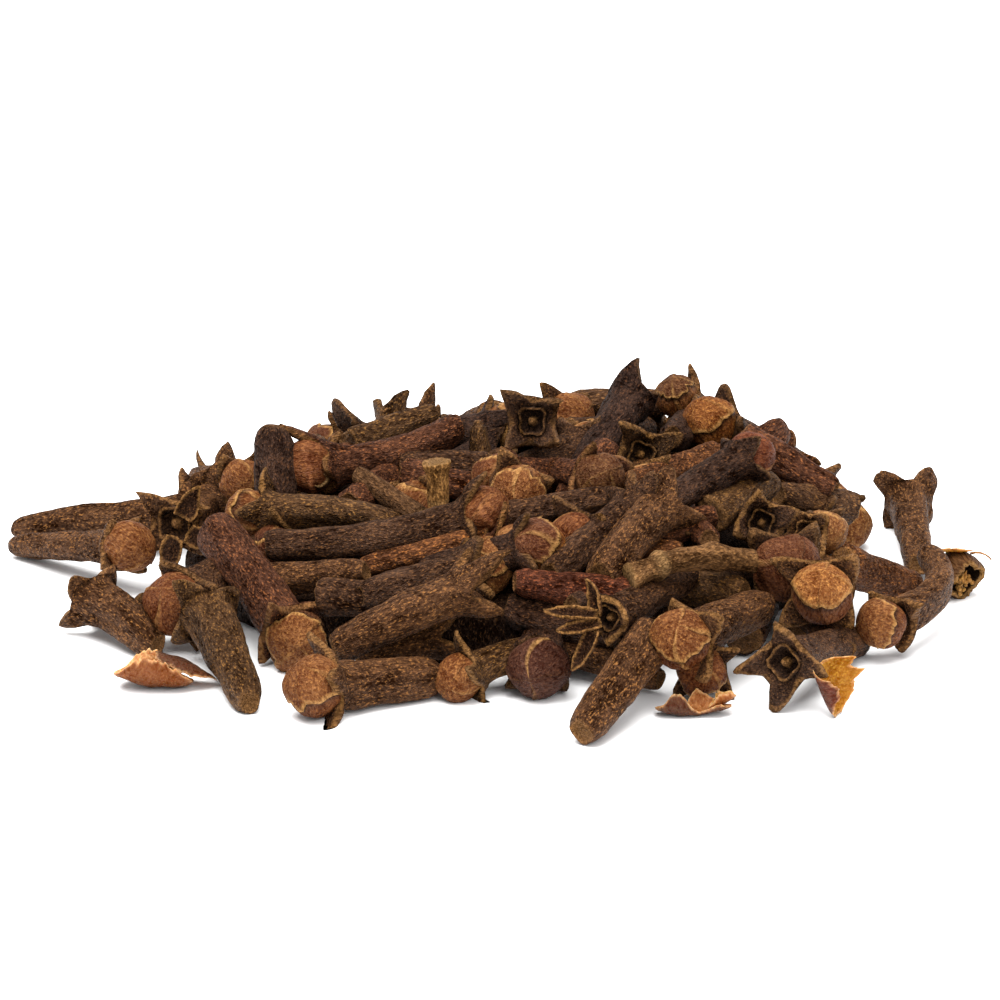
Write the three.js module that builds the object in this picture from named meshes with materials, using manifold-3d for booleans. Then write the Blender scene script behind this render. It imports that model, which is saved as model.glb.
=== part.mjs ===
// A loose heap of dried whole cloves lying on a flat surface.
// Millimetres, +Z up. The origin is on the surface, under the middle of the heap.
// The heap is one fused solid: a low core with the cloves that show lying on it.
// A few pieces lie clear of it: one clove, one broken head and three petal flakes.

import * as THREE from 'three';
import { mergeVertices } from 'three/addons/utils/BufferGeometryUtils.js';
import Module from 'manifold-3d';

const wasm = await Module();
wasm.setup();

// ---- driving dimensions -------------------------------------------------------------------

const HEAP_HALF_WIDTH = 31.5;    // along X, where the slope meets the surface
const HEAP_HALF_DEPTH = 33;      // along Y
const HEAP_MIDDLE_Y = -3.5;
const HEAP_HEIGHT = 11.8;        // middle of the heap, over the top layer of cloves
const HEAP_LEAN = 0.25;          // how much higher the +X side is than the middle
const SLOPE_POWER = 0.8;         // roundness of the slope

const CORE_HALF_WIDTH = 25;
const CORE_HALF_DEPTH = 25.5;
const CORE_MIDDLE_Y = 2;
const CORE_COVER = 2.7;          // its depth under the tops of the cloves
const CORE_FOOT = 0.5;           // thickness of its edge
const CORE_SIDES = 20;
const CORE_RINGS = [1, 0.83, 0.6, 0.3];   // share of its reach, foot to top

const STEM_RADIUS = 1.6;         // clove stem just under its head
const TAIL_SHARE = 0.68;         // tail radius over stem radius
const WAIST_SHARE = 0.88;        // radius halfway up, where the stem is bent
const STRAIGHT_ENOUGH = 0.25;    // a bow under this is left out of the solid
const HEAD_SIDES = 8;            // four sepals and the four valleys between them
const STEM_SIDES = 6;
const HEAD_SPACE = 3;            // a head's length, as it counts in the spacing

// What stands over the neck, for a girth of 1. Each ring: radius, height over the neck,
// how far its four corners stand out, and how far they stand up.
const HEADS = {
  bud: [[2.1, 1.4, 0.55, 0.5], [2, 2.4, 0, 0], [1.25, 3.8, 0, 0], [0, 4.2, 0, 0]],
  star: [[2.2, 1.5, 0.6, 0.75], [0, 0.7, 0, 0]],
  stem: [[0.95, 0.6, 0, 0], [0, 0.7, 0, 0]],
};

const FILL_SEED = 4711;
const FILL_TRIES = 20000;
const FILL_FRONT = 3;            // fill lies behind this Y only
const FILL_DEPTH = 1.9;          // its axis under the tops
const FILL_EDGE = 0.8;           // the heap is at least this high at both of its ends
const FILL_LENGTH = [8.5, 12];
const FILL_GIRTH = [0.85, 1.05];
const FILL_BOW = 0.6;            // most sideways bow, either way
const FILL_LIFT = 0.6;           // how far one end rises and the other sinks, either way
const FILL_BUDS = 0.45;          // share of whole cloves
const FILL_STARS = 0.3;          // share of cloves whose petal cap has dropped off
const FILL_GAP = 1.6;            // least distance between two axes
const LOOSE_GAP = 2.2;           // added round the pieces that lie clear of the heap
const FLOOR_TAIL = 1.2;          // lowest height of a tail's axis
const FLOOR_NECK = 2.2;          // lowest height of a neck's axis

const BROWN = new THREE.MeshStandardMaterial({ color: 0x4a2e1e, roughness: 0.85, metalness: 0 });
const PETAL = new THREE.MeshStandardMaterial({ color: 0xb06a34, roughness: 0.6, metalness: 0 });

// ---- the cloves that lie on the side the heap is seen from ---------------------------------
// kind, tail x y z, neck x y z, sideways bow, upward bow, girth, roll of the sepals in degrees
// bud = whole clove, star = the petal cap has dropped off, stem = no head that shows,
// twig = a thin stalk

const PLACED = [
  // left end
  ['stem', -37.5, 7.6, 0.8, -25.5, 3.5, 3, 0, 0.2, 0.9, 0],
  ['star', -22, 4.5, 3.6, -24, -4.5, 5.2, 0, 0, 0.9, 45],
  ['bud', -37, 3.3, 0.8, -29, -4, 3.2, 0, 0, 0.95, 30],
  ['star', -24.5, -19.8, 0.95, -29, -15, 2.5, 0, 0.3, 1.05, 45],
  ['bud', -15, -6, 4.8, -22, -15.8, 3.7, 0, 0, 1.1, 20],
  ['star', -17.3, -31, 0.9, -20.5, -21, 3.3, 0, 0, 1.1, 55],
  ['bud', -21, -11, 7, -15.6, -19.7, 3, 0, 0.2, 1.05, 40],
  ['star', -16.5, 1.5, 4.6, -23.2, 4.5, 4, 0, 0, 0.85, 0],
  ['star', -15, -3, 6, -20.8, 4.5, 5.4, 0, 0, 0.9, 20],
  ['bud', -23.5, 12, 3.4, -20, 3, 6, 0, 0, 0.9, 45],
  // upper left
  ['stem', -17, -1.5, 12, -16.5, -5.5, 3.5, 0, 0, 0.9, 0],
  ['bud', -3, 1.5, 11, -12, -1, 8.8, 0, -0.5, 1.05, 10],
  ['stem', -13.5, -3.5, 8.3, -14, 6, 7.5, 0, 0, 0.8, 0],
  ['stem', -10.5, -5.5, 9.2, -6, -9.5, 7.2, 0, 0, 0.6, 0],
  ['stem', -11, -9, 8.3, -7.5, 1, 7.2, 0, 0, 0.95, 0],
  ['bud', -7.5, -11.5, 7.6, -16.5, -8, 7.2, 0, 0.3, 0.9, 20],
  ['bud', -17, -12.5, 6.2, -3, -14.5, 8.8, 0, -0.6, 0.9, 20],
  ['stem', -9.5, -19, 6.3, -18, -15, 4.2, 0, 0, 0.75, 0],
  ['stem', -10, -16.5, 5.8, -1, -16, 7.8, 0, 0, 0.7, 0],
  ['bud', -10, -21.5, 5.4, -3.2, -20, 6.5, 0, 0, 1, 30],
  ['stem', -5.5, -22, 5.2, -12.5, -19.5, 4.6, 0, 0, 0.85, 0],
  ['star', -11.6, -26.8, 3.2, -3.3, -24.6, 6.5, 0, 0.2, 1, 40],
  // far side of the crest, left
  ['star', -13, 6, 4, -8.5, 12, 7.3, 0, 0, 0.95, 10],
  ['star', -1, 7, 4.5, -6, 13, 7.2, 0, 0, 0.9, 30],
  ['stem', -12, 6, 8.2, -4, 9, 7.5, 0, 0, 0.85, 0],
  ['star', -4, 12, 6, -10.5, 8.5, 7.5, 0, 0, 0.95, 45],
  ['stem', -5, 7, 10.3, -11, 4.5, 8.8, 0, 0, 0.75, 0],
  ['twig', -4.7, -10.5, 11.9, -4.4, -10.6, 7, 0, 0, 0.5, 0],
  ['stem', -1.5, -6.5, 8.6, -6.8, -4, 8.6, 0, 0, 0.9, 0],
  ['stem', -7.5, -1.5, 9, -1, -2.5, 8.8, 0, 0, 0.8, 0],
  // middle
  ['stem', -1.7, 2, 11.3, -1.3, 0.5, 5.5, 0, 0, 0.75, 0],
  ['star', 3.5, 10, 8.5, 2.5, -0.5, 11.9, 0, 0, 0.95, 45],
  ['bud', -0.5, -0.5, 8, 1, -10, 9.8, 0, 0, 0.95, 20],
  ['bud', 7, 0, 7, 1.2, -5.5, 9, 0, 0, 0.9, 0],
  ['stem', 8, -12.5, 9.9, 0.5, -14.5, 8.8, 0, 0, 0.8, 0],
  ['bud', -5.5, -17.5, 6, 1, -19.5, 8, 0, 0, 0.95, 15],
  ['bud', 13, -9, 7, 6.5, -16.5, 8.3, 0, 0, 0.9, 40],
  ['bud', 3, -0.5, 8, 6.5, -8, 10, 0, 0, 0.9, 20],
  ['star', 3.5, -22.5, 7.3, 9, -15.5, 9.2, 0, 0.2, 1, 30],
  ['stem', 1, -22.5, 6.8, 9, -23, 5.8, 0, 0, 0.95, 0],
  ['stem', 0.5, -22, 4.6, 8, -24, 3.4, 0, 0, 1, 0],
  // upper right
  ['star', 6.2, 0, 7.9, 9.8, 7.5, 10.8, 0, 0, 1, -8],
  ['stem', 5.5, 14, 9, 12.5, 14, 8.8, 0, 0, 0.85, 0],
  ['bud', 0, 19, 6.5, 4.5, 12.5, 8.4, 0, 0, 0.9, 30],
  ['bud', 22, 13, 4.2, 15, 11, 9.5, 0, 0, 0.8, 10],
  ['bud', 24, 11.5, 4.5, 17.5, 6.2, 9, 0, 0, 0.98, 15],
  ['stem', 13, 0.5, 10.4, 14.5, 10, 8.2, 0, 0, 0.9, 0],
  ['star', 10, 8, 7, 10.5, -1, 9.5, 0, 0, 0.9, 20],
  ['stem', 21.5, 5, 9.5, 16, -1.5, 7.8, 0, 0, 0.9, 0],
  ['stem', 25, -3, 7.3, 18.5, 0.5, 10, 0, 0, 0.95, 0],
  ['star', 15.5, 2, 5, 21.6, 7, 6.4, 0, 0, 0.8, 0],
  ['bud', 11.5, -14, 9.3, 17, -9, 11.2, 0, 0.2, 0.87, 30],
  ['stem', 9, -10, 9.9, 16, -1, 9.2, 0, 0, 0.8, 0],
  ['stem', 20, -6.5, 9.2, 15.5, -12.5, 8.6, 0, 0, 0.9, 0],
  ['stem', 15.5, -13.5, 8.7, 11, -15, 7.8, 0, 0, 0.8, 0],
  ['stem', 15, -16.5, 7.9, 13, -7, 7.2, 0, 0, 0.75, 0],
  ['star', 7, -23, 7.2, 11, -15.5, 9.4, 0, 0.2, 1.1, 15],
  ['stem', 13, -18, 7.6, 7.5, -17, 7, 0, 0, 0.7, 0],
  ['star', 20, -4, 4.6, 19, -13, 8, 0, 0, 0.9, 20],
  ['star', 25, -5, 3, 22.5, -12, 6.8, 0, 0, 0.8, 45],
  ['bud', 22, -1, 3.5, 23.4, -9, 6, 0, 0, 0.8, 45],
  ['stem', 20.5, -5.5, 7.7, 26, -1.5, 5.4, 0, 0, 0.85, 0],
  ['star', 18, -1.5, 6.4, 23.8, -3.4, 5.4, 0, 0, 0.85, 20],
  // front right
  ['stem', 5.5, -37.2, 1.05, 10.5, -27.5, 4.2, 0, 0, 1.1, 0],
  ['star', 13.5, -18.5, 5.8, 7.9, -27, 5.9, 0, 0, 0.85, 20],
  ['stem', 5, -24.5, 5.7, 12.5, -15.5, 5.3, 0, 0, 0.9, 0],
  ['twig', 9, -23.5, 7.3, 18, -19, 7.1, 0, 0.9, 0.5, 0],
  ['bud', 18.8, -21, 4.6, 13.8, -27.5, 4.8, 0, 0, 1, 35],
  ['bud', 16, -14.5, 3.2, 14.3, -26.5, 2.2, 0, 0, 0.8, 45],
  ['stem', 11.2, -27.5, 1.3, 4, -23, 2.3, 0, 0, 0.7, 0],
  ['bud', 3.8, -16.8, 2.9, 2.9, -25.2, 2.3, 0, 0, 1.05, 45],
  ['bud', -4.3, -27.3, 1.5, -10.8, -30.5, 2, 0, 0, 1, 30],
  ['bud', 3.4, -24.2, 2.9, -1.4, -27, 1.9, 0, 0, 0.85, 15],
  ['star', -10.1, -24.8, 2, -5.5, -23.4, 2.9, 0, 0, 0.95, 30],
  ['stem', 17.5, -20, 5, 12.5, -17, 4.8, 0, 0, 0.95, 0],
  ['bud', 21, -6.5, 2.5, 20.7, -15, 5.3, 0, 0, 1.2, 45],
  ['bud', 23.7, -10, 3.4, 23, -19, 5, 0, 0, 1.15, 45],
  ['star', 25.9, -18.6, 0.95, 20, -29.5, 3.4, 0, 0, 0.95, 5],
  ['stem', 24.5, -23, 1.8, 22, -16, 2.6, 0, 0, 0.85, 0],
  ['stem', 30.7, -7.4, 1.1, 25, -13, 4.8, 0, 0, 0.85, 0],
  ['bud', 31.5, -7.5, 3.8, 28.8, -18.5, 2.9, -1.8, 0, 0.85, 40],
];

// ---- the pieces that lie clear of the heap --------------------------------------------------

const CLOVE_APART = ['star', 31.5, -2.7, 1.3, 31.7, 8.7, 2.3, 0, 0, 0.95, 45];
const BROKEN_HEAD = ['bud', 32.9, -5, 2.1, 33.3, -5.4, 2.1, 0, 0, 0.85, 45];
// middle x y, length, width, height, turn in degrees
const PETALS = {
  petal_left: [-24.2, -25.4, 6.4, 2.6, 2.2, -8],
  petal_front: [13.5, -31.2, 5, 1.9, 1.7, 6],
  petal_right: [23.5, -30.8, 3.4, 2.4, 3, 40],
};
// half section of a petal flake: share of its size across, share of its height
const PETAL_SECTION = [[0, 0], [0.3, 0.02], [0.42, 0.45], [0.5, 1], [0.38, 0.9], [0.25, 0.45], [0, 0.3]];
const PETAL_SIDES = 12;
const PETAL_WAVE = 0.25;         // how much its rim rises and falls, as a share of its height

// ---- shapes -----------------------------------------------------------------------------------

// Height of the tops of the cloves over the surface at a place in the heap.
function heapTop(x, y) {
  const inside = 1 - (x / HEAP_HALF_WIDTH) ** 2 - ((y - HEAP_MIDDLE_Y) / HEAP_HALF_DEPTH) ** 2;
  const lean = 1 + HEAP_LEAN * x / HEAP_HALF_WIDTH;
  return inside > 0 ? HEAP_HEIGHT * inside ** SLOPE_POWER * lean : 0;
}

function readRow(row) {
  return {
    kind: row[0],
    tail: new THREE.Vector3(row[1], row[2], row[3]),
    neck: new THREE.Vector3(row[4], row[5], row[6]),
    side: row[7],
    rise: row[8],
    girth: row[9],
    roll: THREE.MathUtils.degToRad(row[10]),
  };
}

// A clove's outline, turned round its axis from the tail up, in rings as above but with each
// height counted from the tail.
function cloveRings(clove, length, bent) {
  const stem = STEM_RADIUS * clove.girth;
  const rings = [[stem * TAIL_SHARE, 0, 0, 0]];
  if (bent) rings.push([stem * WAIST_SHARE, length / 2, 0, 0]);
  rings.push([stem, length, 0, 0]);
  for (const ring of HEADS[clove.kind] ?? HEADS.stem) {
    const [radius, height, reach, rise] = ring.map((size) => size * clove.girth);
    rings.push([radius, length + height, reach, rise]);
  }
  return rings;
}

// One closed solid from a turned outline whose points are then moved by a function.
function turnedSolid(outline, sides, move) {
  const turned = new THREE.LatheGeometry(outline, sides);
  turned.deleteAttribute('normal');
  turned.deleteAttribute('uv');
  const merged = mergeVertices(turned, 1e-4);
  const places = merged.getAttribute('position');
  const point = new THREE.Vector3();
  for (let i = 0; i < places.count; i += 1) {
    point.fromBufferAttribute(places, i);
    move(point);
    places.setXYZ(i, point.x, point.y, point.z);
  }
  const corners = [];
  for (let i = 0; i < merged.index.count; i += 3) {
    const [a, b, c] = [merged.index.getX(i), merged.index.getX(i + 1), merged.index.getX(i + 2)];
    if (a !== b && b !== c && c !== a) corners.push(a, b, c);
  }
  return new wasm.Manifold(new wasm.Mesh({
    numProp: 3,
    vertProperties: new Float32Array(places.array),
    triVerts: new Uint32Array(corners),
  }));
}

function hasHead(clove) {
  return clove.kind === 'bud' || clove.kind === 'star';
}

function cloveSolid(clove) {
  const along = clove.neck.clone().sub(clove.tail);
  const length = along.length();
  along.normalize();
  const across = new THREE.Vector3().crossVectors(along, new THREE.Vector3(0, 0, 1)).normalize();
  const upward = new THREE.Vector3().crossVectors(across, along);
  const bent = Math.abs(clove.side) + Math.abs(clove.rise) > STRAIGHT_ENOUGH;
  const rings = cloveRings(clove, length, bent);
  const outline = [[0, 0], ...rings].map((ring) => new THREE.Vector2(ring[0], ring[1]));
  const sides = hasHead(clove) ? HEAD_SIDES : STEM_SIDES;

  return turnedSolid(outline, sides, (point) => {
    const radius = Math.hypot(point.x, point.z);
    const angle = Math.atan2(point.x, point.z);
    const height = point.y;
    const ring = rings.find((r) => Math.abs(r[1] - height) < 1e-3 && Math.abs(r[0] - radius) < 1e-3);
    const corner = Math.cos(4 * angle);
    const reach = ring && radius > 0 ? radius + ring[2] * corner : radius;
    const up = ring ? height + ring[3] * corner : height;
    const share = Math.min(up / length, 1);
    const bow = 4 * share * (1 - share);
    const past = Math.max(up - length, 0) * -4 / length;
    const turn = angle + clove.roll;
    point.copy(clove.tail).addScaledVector(along, up);
    point.addScaledVector(across, clove.side * (bow + past) + reach * Math.sin(turn));
    point.addScaledVector(upward, clove.rise * (bow + past) + reach * Math.cos(turn));
  });
}

function coreSolid() {
  const levels = [0, CORE_RINGS[0], ...CORE_RINGS];
  const outline = levels.map((share, i) => new THREE.Vector2(share, i));
  outline.push(new THREE.Vector2(0, levels.length));
  return turnedSolid(outline, CORE_SIDES, (point) => {
    const x = point.z * CORE_HALF_WIDTH;
    const y = point.x * CORE_HALF_DEPTH + CORE_MIDDLE_Y;
    const top = point.y > 2 ? Math.max(heapTop(x, y) - CORE_COVER, CORE_FOOT) : CORE_FOOT;
    point.set(x, y, point.y < 2 ? 0 : top);
  });
}

// A dried petal that has come off: a small long bowl with a thin wall.
function petalSolid([x, y, long, wide, high, turn]) {
  const outline = PETAL_SECTION.map((p) => new THREE.Vector2(p[0], p[1]));
  const angle = THREE.MathUtils.degToRad(turn);
  return turnedSolid(outline, PETAL_SIDES, (point) => {
    const along = point.z * long;
    const across = point.x * wide;
    const wave = Math.cos(3 * Math.atan2(point.x, point.z));
    const lift = point.y * high * (1 - PETAL_WAVE + PETAL_WAVE * wave);
    point.set(
      x + along * Math.cos(angle) - across * Math.sin(angle),
      y + along * Math.sin(angle) + across * Math.cos(angle),
      lift,
    );
  });
}

// ---- the rest of the top layer, by a seeded rule -------------------------------------------

function seededDraws(seed) {
  let state = seed;
  return () => {
    state = (state * 1664525 + 1013904223) % 4294967296;
    return state / 4294967296;
  };
}

// Least distance between the axes of two pieces, each a straight line from tail to tip.
function axisDistance(a, b) {
  const first = a.tip.clone().sub(a.tail);
  const second = b.tip.clone().sub(b.tail);
  const apart = a.tail.clone().sub(b.tail);
  const aa = first.dot(first);
  const bb = second.dot(second);
  const ab = first.dot(second);
  const ac = first.dot(apart);
  const bc = second.dot(apart);
  const crossing = aa * bb - ab * ab;
  const limit = (share) => Math.min(Math.max(share, 0), 1);
  let s = crossing > 1e-9 ? limit((ab * bc - ac * bb) / crossing) : 0;
  const t = limit((ab * s + bc) / bb);
  s = limit((ab * t - ac) / aa);
  return apart.addScaledVector(first, s).addScaledVector(second, -t).length();
}

function withTip(clove) {
  const along = clove.neck.clone().sub(clove.tail).normalize();
  return { ...clove, tip: clove.neck.clone().addScaledVector(along, hasHead(clove) ? HEAD_SPACE : 0) };
}

function between([low, high], share) {
  return low + (high - low) * share;
}

function sortOfFill(share) {
  if (share < FILL_BUDS) return 'bud';
  return share < FILL_BUDS + FILL_STARS ? 'star' : 'stem';
}

function fillCloves(placed) {
  const draw = seededDraws(FILL_SEED);
  const lying = placed.map(withTip);
  const added = [];
  for (let i = 0; i < FILL_TRIES; i += 1) {
    const reach = Math.sqrt(draw());
    const place = 2 * Math.PI * draw();
    const heading = 2 * Math.PI * draw();
    const length = between(FILL_LENGTH, draw());
    const sort = draw();
    const girth = between(FILL_GIRTH, draw());
    const side = between([-FILL_BOW, FILL_BOW], draw());
    const roll = between([0, Math.PI / 2], draw());
    const lift = between([-FILL_LIFT, FILL_LIFT], draw());
    const x = reach * Math.cos(place) * HEAP_HALF_WIDTH;
    const y = reach * Math.sin(place) * HEAP_HALF_DEPTH + HEAP_MIDDLE_Y;
    const dx = Math.cos(heading) * length / 2;
    const dy = Math.sin(heading) * length / 2;
    const tailZ = Math.max(heapTop(x - dx, y - dy) - FILL_DEPTH + lift, FLOOR_TAIL);
    const neckZ = Math.max(heapTop(x + dx, y + dy) - FILL_DEPTH - lift, FLOOR_NECK);
    const clove = withTip({
      kind: sortOfFill(sort),
      tail: new THREE.Vector3(x - dx, y - dy, tailZ),
      neck: new THREE.Vector3(x + dx, y + dy, neckZ),
      side,
      rise: 0,
      girth,
      roll,
    });
    const ends = [clove.tail, clove.tip];
    if (!ends.every((end) => end.y > FILL_FRONT && heapTop(end.x, end.y) > FILL_EDGE)) continue;
    if (lying.every((other) => axisDistance(clove, other) > FILL_GAP + (other.clearance ?? 0))) {
      lying.push(clove);
      added.push(clove);
    }
  }
  return added;
}

// ---- the object --------------------------------------------------------------------------------

// Nothing reaches under the surface: what would is cut off flat.
function onSurface(solid) {
  const depth = 20;
  const box = new THREE.BoxGeometry(200, 200, depth);
  box.deleteAttribute('normal');
  box.deleteAttribute('uv');
  const merged = mergeVertices(box);
  merged.translate(0, 0, -depth / 2);
  const under = new wasm.Manifold(new wasm.Mesh({
    numProp: 3,
    vertProperties: new Float32Array(merged.getAttribute('position').array),
    triVerts: new Uint32Array(merged.index.array),
  }));
  return solid.subtract(under);
}

// The outer body alone: loose scraps and sealed hollows go.
function outerBody(solid) {
  const bodies = solid.decompose();
  return bodies.reduce((best, body) => (body.volume() > best.volume() ? body : best));
}

function meshOf(solid, name, material) {
  const { vertProperties, triVerts } = solid.getMesh();
  const geometry = new THREE.BufferGeometry();
  geometry.setAttribute('position', new THREE.BufferAttribute(new Float32Array(vertProperties), 3));
  geometry.setIndex(new THREE.BufferAttribute(new Uint32Array(triVerts), 1));
  geometry.computeVertexNormals();
  const mesh = new THREE.Mesh(geometry, material);
  mesh.name = name;
  return mesh;
}

const placedCloves = PLACED.map(readRow);
const apart = readRow(CLOVE_APART);
const brokenHead = readRow(BROKEN_HEAD);
const loose = [apart, brokenHead].map((clove) => ({ ...clove, clearance: LOOSE_GAP }));
const fill = fillCloves([...placedCloves, ...loose]);

let heap = coreSolid();
for (const clove of [...placedCloves, ...fill]) heap = heap.add(cloveSolid(clove));

const cloves = new THREE.Group();
cloves.add(meshOf(outerBody(onSurface(heap)), 'clove_heap', BROWN));
cloves.add(meshOf(onSurface(cloveSolid(apart)), 'clove_apart', BROWN));
cloves.add(meshOf(onSurface(cloveSolid(brokenHead)), 'broken_head', BROWN));
for (const [name, petal] of Object.entries(PETALS)) {
  cloves.add(meshOf(petalSolid(petal), name, PETAL));
}

export default cloves;
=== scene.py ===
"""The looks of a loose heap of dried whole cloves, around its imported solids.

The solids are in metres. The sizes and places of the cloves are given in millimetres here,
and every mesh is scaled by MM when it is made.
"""

import functools
import itertools
import math
from collections import namedtuple

import bpy
import numpy as np
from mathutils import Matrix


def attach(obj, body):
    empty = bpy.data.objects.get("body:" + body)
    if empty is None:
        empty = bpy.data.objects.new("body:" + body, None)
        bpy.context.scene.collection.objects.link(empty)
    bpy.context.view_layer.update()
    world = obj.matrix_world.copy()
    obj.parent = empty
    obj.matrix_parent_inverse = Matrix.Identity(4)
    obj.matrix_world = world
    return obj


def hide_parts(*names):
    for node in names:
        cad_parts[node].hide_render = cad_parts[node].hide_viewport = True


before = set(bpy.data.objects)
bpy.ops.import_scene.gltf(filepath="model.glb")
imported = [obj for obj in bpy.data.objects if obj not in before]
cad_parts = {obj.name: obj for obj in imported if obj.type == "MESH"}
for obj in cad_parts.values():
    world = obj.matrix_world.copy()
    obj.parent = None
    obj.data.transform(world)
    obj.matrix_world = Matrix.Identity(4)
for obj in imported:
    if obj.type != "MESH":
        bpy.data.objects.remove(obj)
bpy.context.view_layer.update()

MM = 0.001
BODY = "root"

# ---- the heap ----

HEAP_HALF_WIDTH = 31.5
HEAP_HALF_DEPTH = 33.0
HEAP_MIDDLE_Y = -3.5
HEAP_HEIGHT = 11.8
HEAP_LEAN = 0.25            # how much higher the +X side is than the middle, as a share
SLOPE_POWER = 0.8
CORE_HALF_WIDTH = 24.0
CORE_HALF_DEPTH = 24.0
CORE_MIDDLE_Y = 2.5
CORE_COVER = 4.4            # depth of the core under the tops of the cloves

STEM_RADIUS = 1.6
HEAD_SPACE = 3.0            # a head's length, as it counts in the spacing
HEADED = ("bud", "star")

# Strewn cloves: the rule's seed, how many it tries, how deep they lie under the heap's tops, how far
# they keep from each other's axes, and the number of the first.
Layer = namedtuple("Layer", "seed tries depth gap number")
FILL = Layer(4711, 20000, 1.9, 1.6, 500)        # the top layer behind, drawn as in the solids
BACK = Layer(1812, 16000, 2.1, 1.15, 600)       # more of it, finer than the solids could carry
UNDER = Layer(90210, 2600, 3.6, 1.9, 700)       # the layer under it, seen through the gaps
STREWN_LENGTH = (8.5, 12.0)
STREWN_GIRTH = (0.85, 1.05)
STREWN_BOW = 0.6
STREWN_LIFT = 0.6           # how far one end is raised and the other lowered, at most
STREWN_BUDS = 0.45          # share of them
STREWN_STARS = 0.3
TAIL_FLOOR = 1.2            # least height of an end
NECK_FLOOR = 2.2
BACK_FRONT = 3.0            # how far to the front the two layers behind reach
BACK_EDGE = 0.8             # least height of the heap under them
UNDER_REACH = 0.93          # share of the core's reach
LOOSE_GAP = 2.2             # more space that the clove and the head beside the heap keep

# ---- colours, multiplied over the skin and over the petal cap ----

SKINS = {
    "brown": (1.0, 1.0, 1.0),
    "dark": (0.6, 0.58, 0.6),
    "black": (0.38, 0.33, 0.31),
    # The darkest skin: on R1 it is painted shade, on strewn cloves their own dark tone.
    "ink": (0.3, 0.24, 0.2),
    "red": (0.85, 0.66, 0.66),
    "crimson": (0.85, 0.5, 0.42),
    "rust": (1.2, 1.0, 0.75),
    "olive": (0.85, 0.92, 0.75),
    "grey": (0.85, 0.9, 1.0),
    "tan": (0.55, 0.48, 0.45),
    "straw": (2.2, 2.1, 1.9),
    "twig": (1.0, 0.92, 0.9),
}
BARE = ("tan", "straw", "twig")     # these are bare wood
STREWN_SKINS = ("brown", "dark", "black", "ink", "red", "brown", "dark", "olive")
BUDS = {
    "orange": (1.0, 1.0, 1.0),
    "brown": (0.6, 0.62, 0.7),
    "red": (0.72, 0.5, 0.5),
    "pink": (0.6, 0.52, 0.6),
    "purple": (0.34, 0.27, 0.42),
    "gold": (1.15, 1.1, 0.7),
    "peach": (1.2, 1.35, 1.7),
    "honey": (1.65, 1.8, 1.95),
    "rust": (0.78, 0.66, 0.55),
}

# ---- the cloves that lie on the side the heap is seen from ----
# kind, tail x y z, neck x y z, sideways bow, upward bow, girth, roll of the sepals in degrees,
# colour of the skin, and of a bud the colour of its petal cap

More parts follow.
